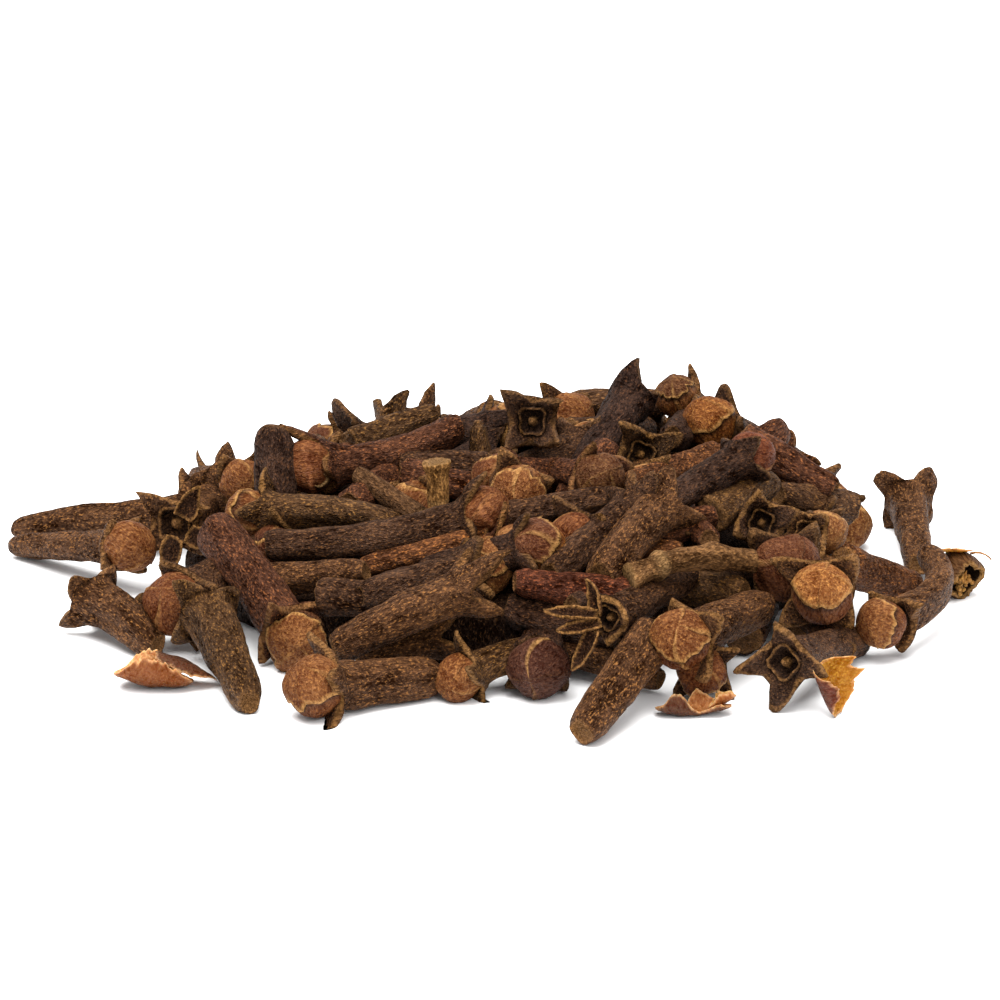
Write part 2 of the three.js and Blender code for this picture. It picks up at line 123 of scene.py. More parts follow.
PLACED = {
    # left end
    "L1": ("stem", -37.5, 7.6, 0.8, -25.5, 3.5, 3, 0, 0.2, 0.9, 0, "brown"),
    "L1s": ("star", -22, 4.5, 3.6, -24, -4.5, 5.2, 0, 0, 0.9, 45, "brown"),
    "L2": ("bud", -37, 3.3, 0.8, -29, -4, 3.2, 0, 0, 0.95, 30, "brown", "orange"),
    "L3": ("star", -24.5, -19.8, 0.95, -29, -15, 2.5, 0, 0.3, 1.05, 45, "brown"),
    "L5": ("bud", -15, -6, 4.8, -22, -15.8, 3.7, 0, 0, 1.1, 20, "dark", "rust"),
    "L6": ("star", -17.3, -31, 0.9, -20.5, -21, 3.3, 0, 0, 1.1, 55, "olive"),
    "L7": ("bud", -21, -11, 7, -15.6, -19.7, 3, 0, 0.2, 1.05, 40, "red", "orange"),
    "L8": ("star", -16.5, 1.5, 4.6, -23.2, 4.5, 4, 0, 0, 0.85, 0, "brown"),
    "L9": ("star", -15, -3, 6, -20.8, 4.5, 5.4, 0, 0, 0.9, 20, "brown"),
    "L10": ("bud", -23.5, 12, 3.4, -20, 3, 6, 0, 0, 0.9, 45, "brown", "orange"),
    # upper left
    # U1's black skin is partly its own dark colour, partly painted shade on its upright side.
    "U1": ("stem", -17, -1.5, 12, -16.5, -5.5, 3.5, 0, 0, 0.9, 0, "black"),
    "U2": ("bud", -3, 1.5, 11, -12, -1, 8.8, 0, -0.5, 1.05, 10, "red", "rust"),
    "U3": ("stem", -13.5, -3.5, 8.3, -14, 6, 7.5, 0, 0, 0.8, 0, "tan"),
    "U4": ("stem", -10.5, -5.5, 9.2, -6, -9.5, 7.2, 0, 0, 0.6, 0, "tan"),
    "U5": ("stem", -11, -9, 8.3, -7.5, 1, 7.2, 0, 0, 0.95, 0, "red"),
    "U7": ("bud", -7.5, -11.5, 7.6, -16.5, -8, 7.2, 0, 0.3, 0.9, 20, "olive", "peach"),
    "U8": ("bud", -17, -12.5, 6.2, -3, -14.5, 8.8, 0, -0.6, 0.9, 20, "dark", "rust"),
    "U9": ("stem", -9.5, -19, 6.3, -18, -15, 4.2, 0, 0, 0.75, 0, "brown"),
    "U10": ("stem", -10, -16.5, 5.8, -1, -16, 7.8, 0, 0, 0.7, 0, "rust"),
    "U11": ("bud", -10, -21.5, 5.4, -3.2, -20, 6.5, 0, 0, 1, 30, "dark", "peach"),
    "U12": ("stem", -5.5, -22, 5.2, -12.5, -19.5, 4.6, 0, 0, 0.85, 0, "dark"),
    "U13": ("star", -11.6, -26.8, 3.2, -3.3, -24.6, 6.5, 0, 0.2, 1, 40, "brown"),
    # far side of the crest, left
    "B1": ("star", -13, 6, 4, -8.5, 12, 7.3, 0, 0, 0.95, 10, "olive"),
    "B2": ("star", -1, 7, 4.5, -6, 13, 7.2, 0, 0, 0.9, 30, "brown"),
    "B3": ("stem", -12, 6, 8.2, -4, 9, 7.5, 0, 0, 0.85, 0, "olive"),
    "B4": ("star", -4, 12, 6, -10.5, 8.5, 7.5, 0, 0, 0.95, 45, "dark"),
    "B5": ("stem", -5, 7, 10.3, -11, 4.5, 8.8, 0, 0, 0.75, 0, "olive"),
    "U17": ("twig", -4.7, -10.5, 11.9, -4.4, -10.6, 7, 0, 0, 0.5, 0, "straw"),
    "U17b": ("stem", -1.5, -6.5, 8.6, -6.8, -4, 8.6, 0, 0, 0.9, 0, "red"),
    "U17c": ("stem", -7.5, -1.5, 9, -1, -2.5, 8.8, 0, 0, 0.8, 0, "dark"),
    # middle
    "U14": ("stem", -1.7, 2, 11.3, -1.3, 0.5, 5.5, 0, 0, 0.75, 0, "olive"),
    "U15": ("star", 3.5, 10, 8.5, 2.5, -0.5, 11.9, 0, 0, 0.95, 45, "dark"),
    "U16": ("bud", -0.5, -0.5, 8, 1, -10, 9.8, 0, 0, 0.95, 20, "brown", "orange"),
    "U16b": ("bud", 7, 0, 7, 1.2, -5.5, 9, 0, 0, 0.9, 0, "red", "rust"),
    "U18": ("stem", 8, -12.5, 9.9, 0.5, -14.5, 8.8, 0, 0, 0.8, 0, "dark"),
    "U19": ("bud", -5.5, -17.5, 6, 1, -19.5, 8, 0, 0, 0.95, 15, "black", "pink"),
    "U20": ("bud", 13, -9, 7, 6.5, -16.5, 8.3, 0, 0, 0.9, 40, "dark", "rust"),
    "U21": ("bud", 3, -0.5, 8, 6.5, -8, 10, 0, 0, 0.9, 20, "red", "brown"),
    "U22": ("star", 3.5, -22.5, 7.3, 9, -15.5, 9.2, 0, 0.2, 1, 30, "dark"),
    "U23": ("stem", 1, -22.5, 6.8, 9, -23, 5.8, 0, 0, 0.95, 0, "crimson"),
    "U23b": ("stem", 0.5, -22, 4.6, 8, -24, 3.4, 0, 0, 1, 0, "black"),
    # upper right
    # R1's very dark skin is painted shade.
    "R1": ("star", 6.2, 0, 7.9, 9.8, 7.5, 10.8, 0, 0, 1, -8, "ink"),
    "R2": ("stem", 5.5, 14, 9, 12.5, 14, 8.8, 0, 0, 0.85, 0, "grey"),
    "R3": ("bud", 0, 19, 6.5, 4.5, 12.5, 8.4, 0, 0, 0.9, 30, "brown", "orange"),
    "R4": ("bud", 22, 13, 4.2, 15, 11, 9.5, 0, 0, 0.8, 10, "brown", "brown"),
    "R5": ("bud", 24, 11.5, 4.5, 17.5, 6.2, 9, 0, 0, 0.98, 15, "dark", "gold"),
    "R5b": ("stem", 13, 0.5, 10.4, 14.5, 10, 8.2, 0, 0, 0.9, 0, "black"),
    "R5c": ("star", 10, 8, 7, 10.5, -1, 9.5, 0, 0, 0.9, 20, "olive"),
    "R6": ("stem", 21.5, 5, 9.5, 16, -1.5, 7.8, 0, 0, 0.9, 0, "red"),
    "R7": ("stem", 25, -3, 7.3, 18.5, 0.5, 10, 0, 0, 0.95, 0, "red"),
    "R8": ("star", 15.5, 2, 5, 21.6, 7, 6.4, 0, 0, 0.8, 0, "red"),
    # R9's black skin is partly its own dark colour, partly painted shade.
    "R9": ("bud", 11.5, -14, 9.3, 17, -9, 11.2, 0, 0.2, 0.87, 30, "black", "red"),
    "R10": ("stem", 9, -10, 9.9, 16, -1, 9.2, 0, 0, 0.8, 0, "rust"),
    "R11": ("stem", 20, -6.5, 9.2, 15.5, -12.5, 8.6, 0, 0, 0.9, 0, "olive"),
    "R12": ("stem", 15.5, -13.5, 8.7, 11, -15, 7.8, 0, 0, 0.8, 0, "red"),
    "R13": ("stem", 15, -16.5, 7.9, 13, -7, 7.2, 0, 0, 0.75, 0, "red"),
    "R14": ("star", 7, -23, 7.2, 11, -15.5, 9.4, 0, 0.2, 1.1, 15, "brown"),
    "R15": ("stem", 13, -18, 7.6, 7.5, -17, 7, 0, 0, 0.7, 0, "rust"),
    "R16": ("star", 20, -4, 4.6, 19, -13, 8, 0, 0, 0.9, 20, "dark"),
    "R17": ("star", 25, -5, 3, 22.5, -12, 6.8, 0, 0, 0.8, 45, "brown"),
    "R18": ("bud", 22, -1, 3.5, 23.4, -9, 6, 0, 0, 0.8, 45, "dark", "peach"),
    "R18b": ("stem", 20.5, -5.5, 7.7, 26, -1.5, 5.4, 0, 0, 0.85, 0, "grey"),
    "R18c": ("star", 18, -1.5, 6.4, 23.8, -3.4, 5.4, 0, 0, 0.85, 20, "grey"),
    # front right
    "F1": ("stem", 5.5, -37.2, 1.05, 10.5, -27.5, 4.2, 0, 0, 1.1, 0, "brown"),
    "F2": ("star", 13.5, -18.5, 5.8, 7.9, -27, 5.9, 0, 0, 0.85, 20, "dark"),
    "F3": ("stem", 5, -24.5, 5.7, 12.5, -15.5, 5.3, 0, 0, 0.9, 0, "black"),
    "F4": ("twig", 9, -23.5, 7.3, 18, -19, 7.1, 0, 0.9, 0.5, 0, "twig"),
    "F5": ("bud", 18.8, -21, 4.6, 13.8, -27.5, 4.8, 0, 0, 1, 35, "brown", "orange"),
    "F6": ("bud", 16, -14.5, 3.2, 14.3, -26.5, 2.2, 0, 0, 0.8, 45, "dark", "rust"),
    "F8": ("stem", 11.2, -27.5, 1.3, 4, -23, 2.3, 0, 0, 0.7, 0, "brown"),
    "F9": ("bud", 3.8, -16.8, 2.9, 2.9, -25.2, 2.3, 0, 0, 1.05, 45, "black", "purple"),
    "F10": ("bud", -4.3, -27.3, 1.5, -10.8, -30.5, 2, 0, 0, 1, 30, "brown", "orange"),
    "F11": ("bud", 3.4, -24.2, 2.9, -1.4, -27, 1.9, 0, 0, 0.85, 15, "olive", "orange"),
    "F12": ("star", -10.1, -24.8, 2, -5.5, -23.4, 2.9, 0, 0, 0.95, 30, "brown"),
    "F14": ("stem", 17.5, -20, 5, 12.5, -17, 4.8, 0, 0, 0.95, 0, "olive"),
    "F15": ("bud", 21, -6.5, 2.5, 20.7, -15, 5.3, 0, 0, 1.2, 45, "dark", "pink"),
    "F16": ("bud", 23.7, -10, 3.4, 23, -19, 5, 0, 0, 1.15, 45, "brown", "honey"),
    "F17": ("star", 25.9, -18.6, 0.95, 20, -29.5, 3.4, 0, 0, 0.95, 5, "dark"),
    "F17b": ("stem", 24.5, -23, 1.8, 22, -16, 2.6, 0, 0, 0.85, 0, "dark"),
    "F19": ("stem", 30.7, -7.4, 1.1, 25, -13, 4.8, 0, 0, 0.85, 0, "rust"),
    "F20": ("bud", 31.5, -7.5, 3.8, 28.8, -18.5, 2.9, -1.8, 0, 0.85, 40, "brown", "orange"),
}
# What sets single cloves apart:
# - tail, round, bare: girth of the tail as a share of the neck's, whether it ends in a dome, and how
#   pale the scar on it is
# - furrow: degrees around and depth of one deep furrow
# - rim, sepals, long, point, spread: how light the sepals' edges are, their size, the length of each,
#   how blunt their tips are, and their degrees from the clove's axis
# - disc, dome: size of the open disc and of the petal cap
# - cap, edge, under, ragged: where the cap's top points, how many degrees from it the cap is torn (0
#   for a whole cap), the colour under the tear, and how ragged the tear is
# - nodes: place, length and height of each node of a stalk, as shares of its length and girth
TRAITS = {
    "L1": {"tail": 0.5},
    "L1s": {"rim": 0.5, "sepals": 1.1, "point": 0.8, "spread": 62, "disc": 1.2},
    "L2": {"tail": 0.5, "edge": 0},
    "L3": {"tail": 0.56, "sepals": 0.9, "point": 1.1, "spread": 58},
    "L5": {"edge": 0},
    "L6": {"tail": 0.5, "sepals": 0.68, "spread": 66},
    "L7": {"tail": 0.92, "edge": 75, "under": "brown", "rim": 0.5, "sepals": 1.05, "spread": 62},
    "L10": {"edge": 0},
    "U1": {"tail": 0.84, "round": True},
    "U2": {"furrow": (20, 0.3), "edge": 0, "long": (1.5, 0.8, 0.6, 0.8), "point": 0.85, "spread": 30},
    "U4": {"tail": 0.8},
    "U7": {"rim": 0.6, "edge": 80, "under": "orange"},
    "U8": {"tail": 0.82, "edge": 0},
    "U11": {"edge": 70, "cap": (-0.3, -0.5, 0.8), "under": "peach"},
    "U13": {"sepals": 1.1, "rim": 0.2, "long": (1.5, 0.9, 1.0, 0.9), "point": 0.9},
    "U14": {"tail": 0.35, "round": True},
    "U15": {"rim": 0.3, "sepals": 1.05, "long": (0.84, 0.9, 0.85, 1.0), "point": 0.72, "disc": 0.95},
    "U17": {"nodes": ((0.6, 0.1, 0.0), (0.02, 0.12, 0.32))},
    "U16": {"edge": 75, "under": "orange"},
    "U19": {"edge": 80, "cap": (-0.7, -0.4, 0.5), "under": "gold"},
    "U20": {"edge": 0},
    "R1": {"rim": 0.2, "long": (0.72, 0.5, 0.6, 0.5), "point": 0.55, "spread": 42},
    "R3": {"edge": 0},
    "R4": {"edge": 62, "cap": (-0.2, -0.3, 0.95), "under": "orange"},
    "R5": {"long": (0.8, 1.1, 0.8, 0.8), "edge": 78, "cap": (-0.4, -0.1, 0.9), "under": "gold",
           "ragged": 0.5},
    "R8": {"sepals": 0.8, "point": 1.3},
    "R9": {"edge": 0, "rim": 0.3, "sepals": 0.7, "spread": 50},
    "R16": {"rim": 0.6, "sepals": 0.85, "disc": 0.85},
    "R17": {"rim": 0.6, "sepals": 0.8},
    "R18c": {"sepals": 0.7},
    "F1": {"tail": 0.6, "bare": 1.0},
    "F2": {"rim": 0.75, "sepals": 0.42, "point": 0.8, "spread": 30, "disc": 0.85},
    "F5": {"edge": 66, "cap": (-0.1, -0.7, 0.75), "under": "rust", "rim": 0.5, "sepals": 0.85,
           "long": (0.8, 1.0, 1.2, 1.4), "spread": 62, "point": 1.3},
    "F6": {"edge": 80, "cap": (0, -0.8, 0.6), "under": "orange"},
    "F9": {"edge": 0, "rim": 0.15, "sepals": 0.9, "spread": 30},
    "F10": {"edge": 84, "cap": (-0.4, -0.4, 0.85), "under": "rust", "rim": 0.5, "sepals": 1.05,
            "spread": 64},
    "F11": {"edge": 0, "rim": 0.5, "sepals": 1.15, "spread": 60},
    "F15": {"edge": 0},
    "F16": {"edge": 74, "cap": (0, -0.42, 0.9), "under": "rust", "dome": 0.88, "rim": 0.5, "spread": 78,
            "point": 0.95, "ragged": 0.4},
    "F17": {"rim": 0.55, "long": (0.62, 1.25, 1.0, 0.8), "point": 0.85, "spread": 66, "disc": 1.0},
    "F20": {"edge": 74, "cap": (-0.7, -0.6, 0.4), "under": "rust"},
}
APART_TRAITS = {"sepals": 0.75, "spread": 60, "point": 2.6, "tail": 0.6, "rim": 0.3}
APART = ("star", 31.5, -2.7, 1.3, 31.7, 8.7, 2.3, 0, 0, 0.95, 45, "brown")
BROKEN = ("bud", 32.9, -5, 2.1, 33.3, -5.4, 2.1, 0, 0, 0.85, 45, "brown", "gold")

# The numbers of cloves, which seed their noise and draws. Those in PLACED count from 0.
APART_NUMBER = 400
BROKEN_NUMBER = 401
LOW_NUMBER = 450
DICE_BASE = 1000            # over a clove's number, for its draws
NOISE_SPAN = 90             # within it lies each clove's place in the noise

# Stems that fill the low gaps behind the front cloves at the right, in the form of PLACED.
LOW_STEMS = (
    ("stem", 19.5, -12.5, 1.6, 17.5, -19.5, 1.7, 0, 0, 0.9, 0, "black"),
    ("stem", 24.8, -14.5, 1.5, 21.5, -17.5, 1.7, 0, 0, 0.85, 0, "dark"),
)

# ---- sizes of a clove, in millimetres for a girth of 1 ----

TAIL_SHARE = 0.64           # girth of the tail, as a share of the neck's
TAIL_SWELL = 0.55           # the lower, the sooner the stem is as thick as its neck
# share of the tail's radius and height over its foot: the scar, its rim and the shoulder
TAIL_CAP = ((0.36, 0.22), (0.62, 0.18), (0.72, 0.02), (0.82, 0.0), (0.93, 0.12), (1.0, 0.34))
ROUND_CAP = ((0.16, 0.06), (0.34, 0.0), (0.52, 0.1), (0.7, 0.27), (0.86, 0.52), (0.97, 0.9))
SHOULDER = 0.72             # height of the shoulder, in radii of the tail
ROUND_SHOULDER = 1.25
FLARE = ((0.2, 1.64), (0.45, 1.76), (0.7, 1.92))    # height over the neck, radius
SEPAL_BASE = 0.75           # height over the neck
SEPAL_LENGTH = {"bud": 2.1, "star": 2.3}
SEPAL_SPREAD = {"bud": 46, "star": 38}              # degrees from the clove's axis
SEPAL_CURL = {"bud": 2, "star": 10}                 # degrees that it bends outward over its length
SPREAD_VARIES = 12          # degrees, from sepal to sepal
CURL_VARIES = 30
LENGTH_VARIES = 0.2         # share of the length
SWAY = 0.3                  # how far a sepal's tip bends sideways, as a share of its length
SEPAL_THICKNESS = 0.78
KEEL = 0.16                 # height of the ridge along the back of a sepal
# radius and height over the sepals' base, from the sepals in to the middle
OPEN_DISC = (
    (1.34, -0.05), (1.28, 0.25), (1.2, 0.42), (1.08, 0.38), (0.99, 0.1), (0.92, -0.3),
    (0.74, -0.6), (0.46, -0.55), (0.33, -0.2), (0.24, 0.1),
)
DISC_RING = (2, 3)          # the rows of OPEN_DISC on the ring's crest
BUD_RADIUS = 2.05
BUD_MIDDLE = 2.15           # height over the neck
PETAL_STEP = 0.1            # how far one petal stands over the next
TORN_STEP = 0.15            # how far the cap's torn edge stands over the petals under it

# Unevenness of a clove: at the tail or all over, and how much more along the stem or on the head.
WRINKLE_DEPTH = (0.02, 0.075)
BENT = (0.16, 0.22)
DENTED = (0.04, 0.13)
# The same for a petal cap.
CAP_FOLD_DEPTH = 0.022
CAP_NET_DEPTH = 0.01
CAP_BENT = 0.2
CAP_DENTED = 0.07

# How finely a clove is made: columns, distance of the stem's rings, rings over a sepal.
Look = namedtuple("Look", "columns spacing sepal_rings")
FINE = Look(44, 0.28, 7)
MIDDLING = Look(32, 0.42, 5)
PLAIN = Look(16, 0.9, 3)

# ---- noise ----

NOISE_SEED = 2024
noise_dice = np.random.default_rng(NOISE_SEED)
SHUFFLE = noise_dice.permutation(256)
SLOPES = noise_dice.normal(size=(256, 3))
SLOPES /= np.linalg.norm(SLOPES, axis=1)[:, None]


def perlin(points):
    """Smooth noise of about -0.8 to 0.8 at each point."""
    flat = points.reshape(-1, 3)
    cell = np.floor(flat).astype(int)
    local = flat - cell
    fade = local ** 3 * (local * (local * 6 - 15) + 10)
    total = np.zeros(len(flat))
    for corner in itertools.product((0, 1), repeat=3):
        step = np.array(corner)
        index = (cell + step) & 255
        key = SHUFFLE[(SHUFFLE[(SHUFFLE[index[:, 0]] + index[:, 1]) & 255] + index[:, 2]) & 255]
        weight = np.prod(np.where(step, fade, 1 - fade), axis=1)
        total += weight * np.einsum("ij,ij->i", SLOPES[key], local - step)
    return total.reshape(points.shape[:-1])


def wrinkles(points):
    """Relief of a dry skin, about -1 to 1: long folds, shorter creases and grain."""
    folds = perlin(points * (0.75, 0.75, 0.2))
    creases = 0.5 - 2.2 * np.abs(perlin(points * (1.5, 1.5, 0.5) + 31.7))
    grain = perlin(points * (2.9, 2.9, 1.7) + 7.3)
    return 0.7 * folds + 0.55 * creases + 0.7 * grain


def crumple(points, scale):
    """A push in a random direction at each point, which changes smoothly from place to place."""
    return np.stack([perlin(points * scale + 17.3 * axis) for axis in range(3)], axis=-1)


def around_circle(turn, scale, number):
    """Noise along a closed line, the same at both ends."""
    circle = [np.cos(turn) * scale, np.sin(turn) * scale, turn * 0 + number * 2.3]
    return perlin(np.stack(circle, axis=-1))


def line_noise(values, seed):
    """Noise along a line, other for each seed."""
    return perlin(np.stack([values, values * 0, values * 0 + seed], axis=-1))


# ---- points and directions ----

def unit(vector):
    vector = np.array(vector, float)
    return vector / np.linalg.norm(vector)


def axes_along(top, aside=(0, 0, 1)):
    """Three directions square to each other, the last one along top."""
    top = unit(top)
    first = unit(np.cross(top, aside))
    return np.stack([first, np.cross(top, first), top])


def turns(columns):
    """The angles of the columns around a ring."""
    return np.arange(columns) * 2 * math.pi / columns


def ring_points(radius, turn, height):
    return np.stack([radius * np.sin(turn), radius * np.cos(turn), height], axis=-1)


def masks_of(count, crest=0.0, rim=0.0, scar=0.0, painted_shade=0.0):
    """The four masks of count points, each one value for all or one for each. The first sets the tone,
    partly painted lighter on crests and painted shade in valleys; the last is painted shade in hollows, gaps
    and under ledges.
    """
    return np.stack(np.broadcast_arrays(np.zeros(count), crest, rim, scar, painted_shade)[1:], axis=-1)


def with_ends(rings, ends):
    """The values on all rings in one list, and after them the two at the ends."""
    return np.concatenate([rings.reshape(-1, rings.shape[-1]), ends])


# ---- pieces ----

MOST_TRIANGLES = 185000     # of one piece


class Batch:
    """Closed surfaces of one kind. They become one piece, or a few if they get too many."""

    def __init__(self, kind, slot, materials):
        self.kind = kind
        self.slot = slot
        self.materials = materials
        self.made = []
        self.clear()

    def clear(self):
        self.points = []
        self.faces = []
        self.grain = []
        self.masks = []
        self.tints = []
        self.material = []
        self.count = 0
        self.triangles = 0

    def add(self, points, faces, grain, masks, tint, material=0):
        """One closed surface. grain is where its points lie in the material's noise."""
        if self.triangles + 2 * len(faces) > MOST_TRIANGLES:
            self.finish()
        if signed_volume(points, faces) < 0:
            faces = [face[::-1] for face in faces]
        tints = np.ones((len(points), 4))
        tints[:, :3] = tint
        self.points.append(points)
        self.faces.extend([tuple(corner + self.count for corner in face) for face in faces])
        self.grain.append(grain)
        self.masks.append(masks)
        self.tints.append(tints)
        self.material.extend([material] * len(faces))
        self.count += len(points)
        self.triangles += sum(len(face) - 2 for face in faces)

    def finish(self):
        """Makes a piece of what has been added so far."""
        if not self.count:
            return
        name = f"{self.kind}_{len(self.made) + 1}"
        points = np.concatenate(self.points)
        points[:, 2] = np.maximum(points[:, 2], 0)
        mesh = bpy.data.meshes.new(name)
        mesh.from_pydata((points * MM).tolist(), [], self.faces)
        for material in self.materials:
            mesh.materials.append(material)
        mesh.polygons.foreach_set("material_index", self.material)
        mesh.polygons.foreach_set("use_smooth", [True] * len(self.faces))
        for key, form, field, values in (
            ("grain", "FLOAT_VECTOR", "vector", self.grain),
            ("mask", "FLOAT_COLOR", "color", self.masks),
            ("tint", "FLOAT_COLOR", "color", self.tints),
        ):
            attribute = mesh.attributes.new(key, form, "POINT")
            attribute.data.foreach_set(field, np.concatenate(values).astype(np.float32).ravel())
        piece = bpy.data.objects.new(name, mesh)
        bpy.context.scene.collection.objects.link(piece)
        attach(piece, BODY)
        self.made.append(piece)
        self.clear()


def signed_volume(points, faces):
    """Positive where the faces point out."""
    fans = [(face[0], *pair) for face in faces for pair in zip(face[1:], face[2:])]
    first, second, third = (points[corner] for corner in np.array(fans).T)
    return float(np.einsum("ij,ij->", first, np.cross(second, third)))


@functools.cache
def tube(rings, columns):
    """Faces of a closed surface: rings of points, then one point before and one after them."""
    first = rings * columns
    top = first - columns
    faces = []
    for column in range(columns):
        beside = (column + 1) % columns
        faces.append((first, beside, column))
        for low in range(0, top, columns):
            high = low + columns
            faces.append((low + column, low + beside, high + beside, high + column))
        faces.append((first + 1, top + column, top + beside))
    return faces


# ---- one clove ----

class Clove:
    """Where a clove lies, and what it looks like."""

    def __init__(self, row, number, traits=None):
        self.kind = row[0]
        self.tail = np.array(row[1:4], float)
        self.neck = np.array(row[4:7], float)
        self.side, self.rise, self.girth = row[7:10]
        self.roll = math.radians(row[10])
        self.skin = SKINS[row[11]]
        self.material = 2 if row[11] in BARE else 0
        self.cap_colour = BUDS[row[12]] if self.kind == "bud" else None
        self.traits = traits or {}
        self.clearance = 0.0
        self.number = number
        self.along = self.neck - self.tail
        self.length = float(np.linalg.norm(self.along))
        self.along = self.along / self.length
        self.across = np.cross(self.along, (0, 0, 1))
        self.across = self.across / np.linalg.norm(self.across)
        self.upward = np.cross(self.across, self.along)
        self.tip = self.neck + self.along * (HEAD_SPACE if self.kind in HEADED else 0)

    def place(self, local):
        """Points from the clove's own axes, x across, y upward and z from its tail, to the heap's."""
        x, y, z = local[..., 0], local[..., 1], local[..., 2]
        share = np.minimum(z / self.length, 1)
        bow = 4 * share * (1 - share) - 4 * np.maximum(z - self.length, 0) / self.length
        return (
            self.tail
            + z[..., None] * self.along
            + (x + self.side * bow)[..., None] * self.across
            + (y + self.rise * bow)[..., None] * self.upward
        )


def smooth(low, high, value):
    share = np.clip((value - low) / (high - low), 0, 1)
    return share * share * (3 - 2 * share)


def spread_draws(dice, count):
    """Draws around 0 without far outliers."""
    return dice.normal(size=count).clip(-1.4, 1.4)


def furrows(clove, turn, height, dice):
    """Depth of the lengthwise furrows, as a share of the radius: a few shallow ones, some deep."""
    share = height / clove.length
    fade = smooth(0.06, 0.25, share) * smooth(1.05, 0.8, share)
    depth = np.zeros(turn.shape)
    marks = [(360 * dice.random(), 0.03 + 0.07 * dice.random()) for _ in range(4)]
    if "furrow" in clove.traits:
        marks.append(clove.traits["furrow"])
    for index, (degrees, deep) in enumerate(marks):
        drift = 0.6 * line_noise(height * 0.17, clove.number + index)
        off = (turn - math.radians(degrees) - drift + math.pi) % (2 * math.pi) - math.pi
        wide = 0.16 + 0.9 * deep
        depth += deep * fade * np.exp(-((off / wide) ** 2))
    return depth


def stem_rings(clove, look, turn, dice):
    """The stem's rings, tail first: points, and the masks crest, rim, scar and painted shade."""
    radius = STEM_RADIUS * clove.girth
    tail = clove.traits.get("tail", TAIL_SHARE + 0.07 * float(spread_draws(dice, 1)[0]))
    foot = tail * radius
    domed = "round" in clove.traits
    end = ROUND_CAP if domed else TAIL_CAP
    rows = np.arange((ROUND_SHOULDER if domed else SHOULDER) * foot, clove.length, look.spacing)
    share = rows / clove.length
    lumps = 0.13 * line_noise(rows * 0.28, clove.number)
    lumps = 1 + lumps * smooth(0, 0.2, share) * smooth(1, 0.85, share)
    swell = (tail + (1 - tail) * share ** TAIL_SWELL) * lumps
    heights = np.concatenate([[height * foot for _, height in end], rows, [clove.length]])
    radii = np.concatenate([[size * foot for size, _ in end], swell * radius, [radius]])
    flat_turn = math.pi * dice.random()
    flat, square, third = dice.random(3) * (0.13, 0.05, 0.05) + (0.0, 0.02, 0.0)
    high, angle = np.meshgrid(heights, turn, indexing="ij")
    section = (
        1
        + square * np.cos(4 * (angle - clove.roll))
        + flat * np.cos(2 * (angle - flat_turn - 0.04 * high))
        + third * np.cos(3 * (angle + flat_turn))
        - furrows(clove, angle, high, dice)
    )
    around = radii[:, None] * section
    slant = (0.05 if domed else 0.16) * float(spread_draws(dice, 1)[0])
    up = high + slant * (1 - smooth(0.2, 2.4, high)) * np.cos(angle - flat_turn) * around
    points = ring_points(around, angle, up)
    masks = np.zeros((*around.shape, 4))
    bare = clove.traits.get("bare", 0.35 if domed else 0.75)
    masks[:3, :, 2] = bare
    masks[3, :, 2] = 0.4 * bare
    # Painted shade in the sunken middle of the tail's end.
    masks[:2, :, 3] = 0.15 if domed else 0.3
    return points, masks


# share of the radius and height over the neck of each ring
ROUGH_END = ((0.98, 0.14), (0.9, 0.32), (0.76, 0.42), (0.5, 0.34), (0.24, 0.3))


def end_rings(clove, turn):
    """The broken end of a stem without a head, which takes the head's place."""
    radius = STEM_RADIUS * clove.girth
    rough = around_circle(turn, 1.7, clove.number)
    finer = around_circle(turn, 4.1, clove.number + 9)
    points, masks = [], []
    for share, height in ROUGH_END:
        up = clove.length + (height + 0.5 * rough * share + 0.3 * finer * share) * clove.girth
        around = share * radius * (1 + 0.12 * finer)
        points.append(ring_points(around, turn, up))
        scar = 0.0 if share > 0.95 else 0.6
        # Painted shade in the broken end's sunken middle.
        painted_shade = 0.35 if share < 0.6 else 0.0
        masks.append(masks_of(len(turn), scar=scar, painted_shade=painted_shade))
    middle = np.array([0, 0, clove.length + 0.3 * clove.girth])
    return np.array(points), np.array(masks), middle, (0.5, 0, 0.5, 0.4)


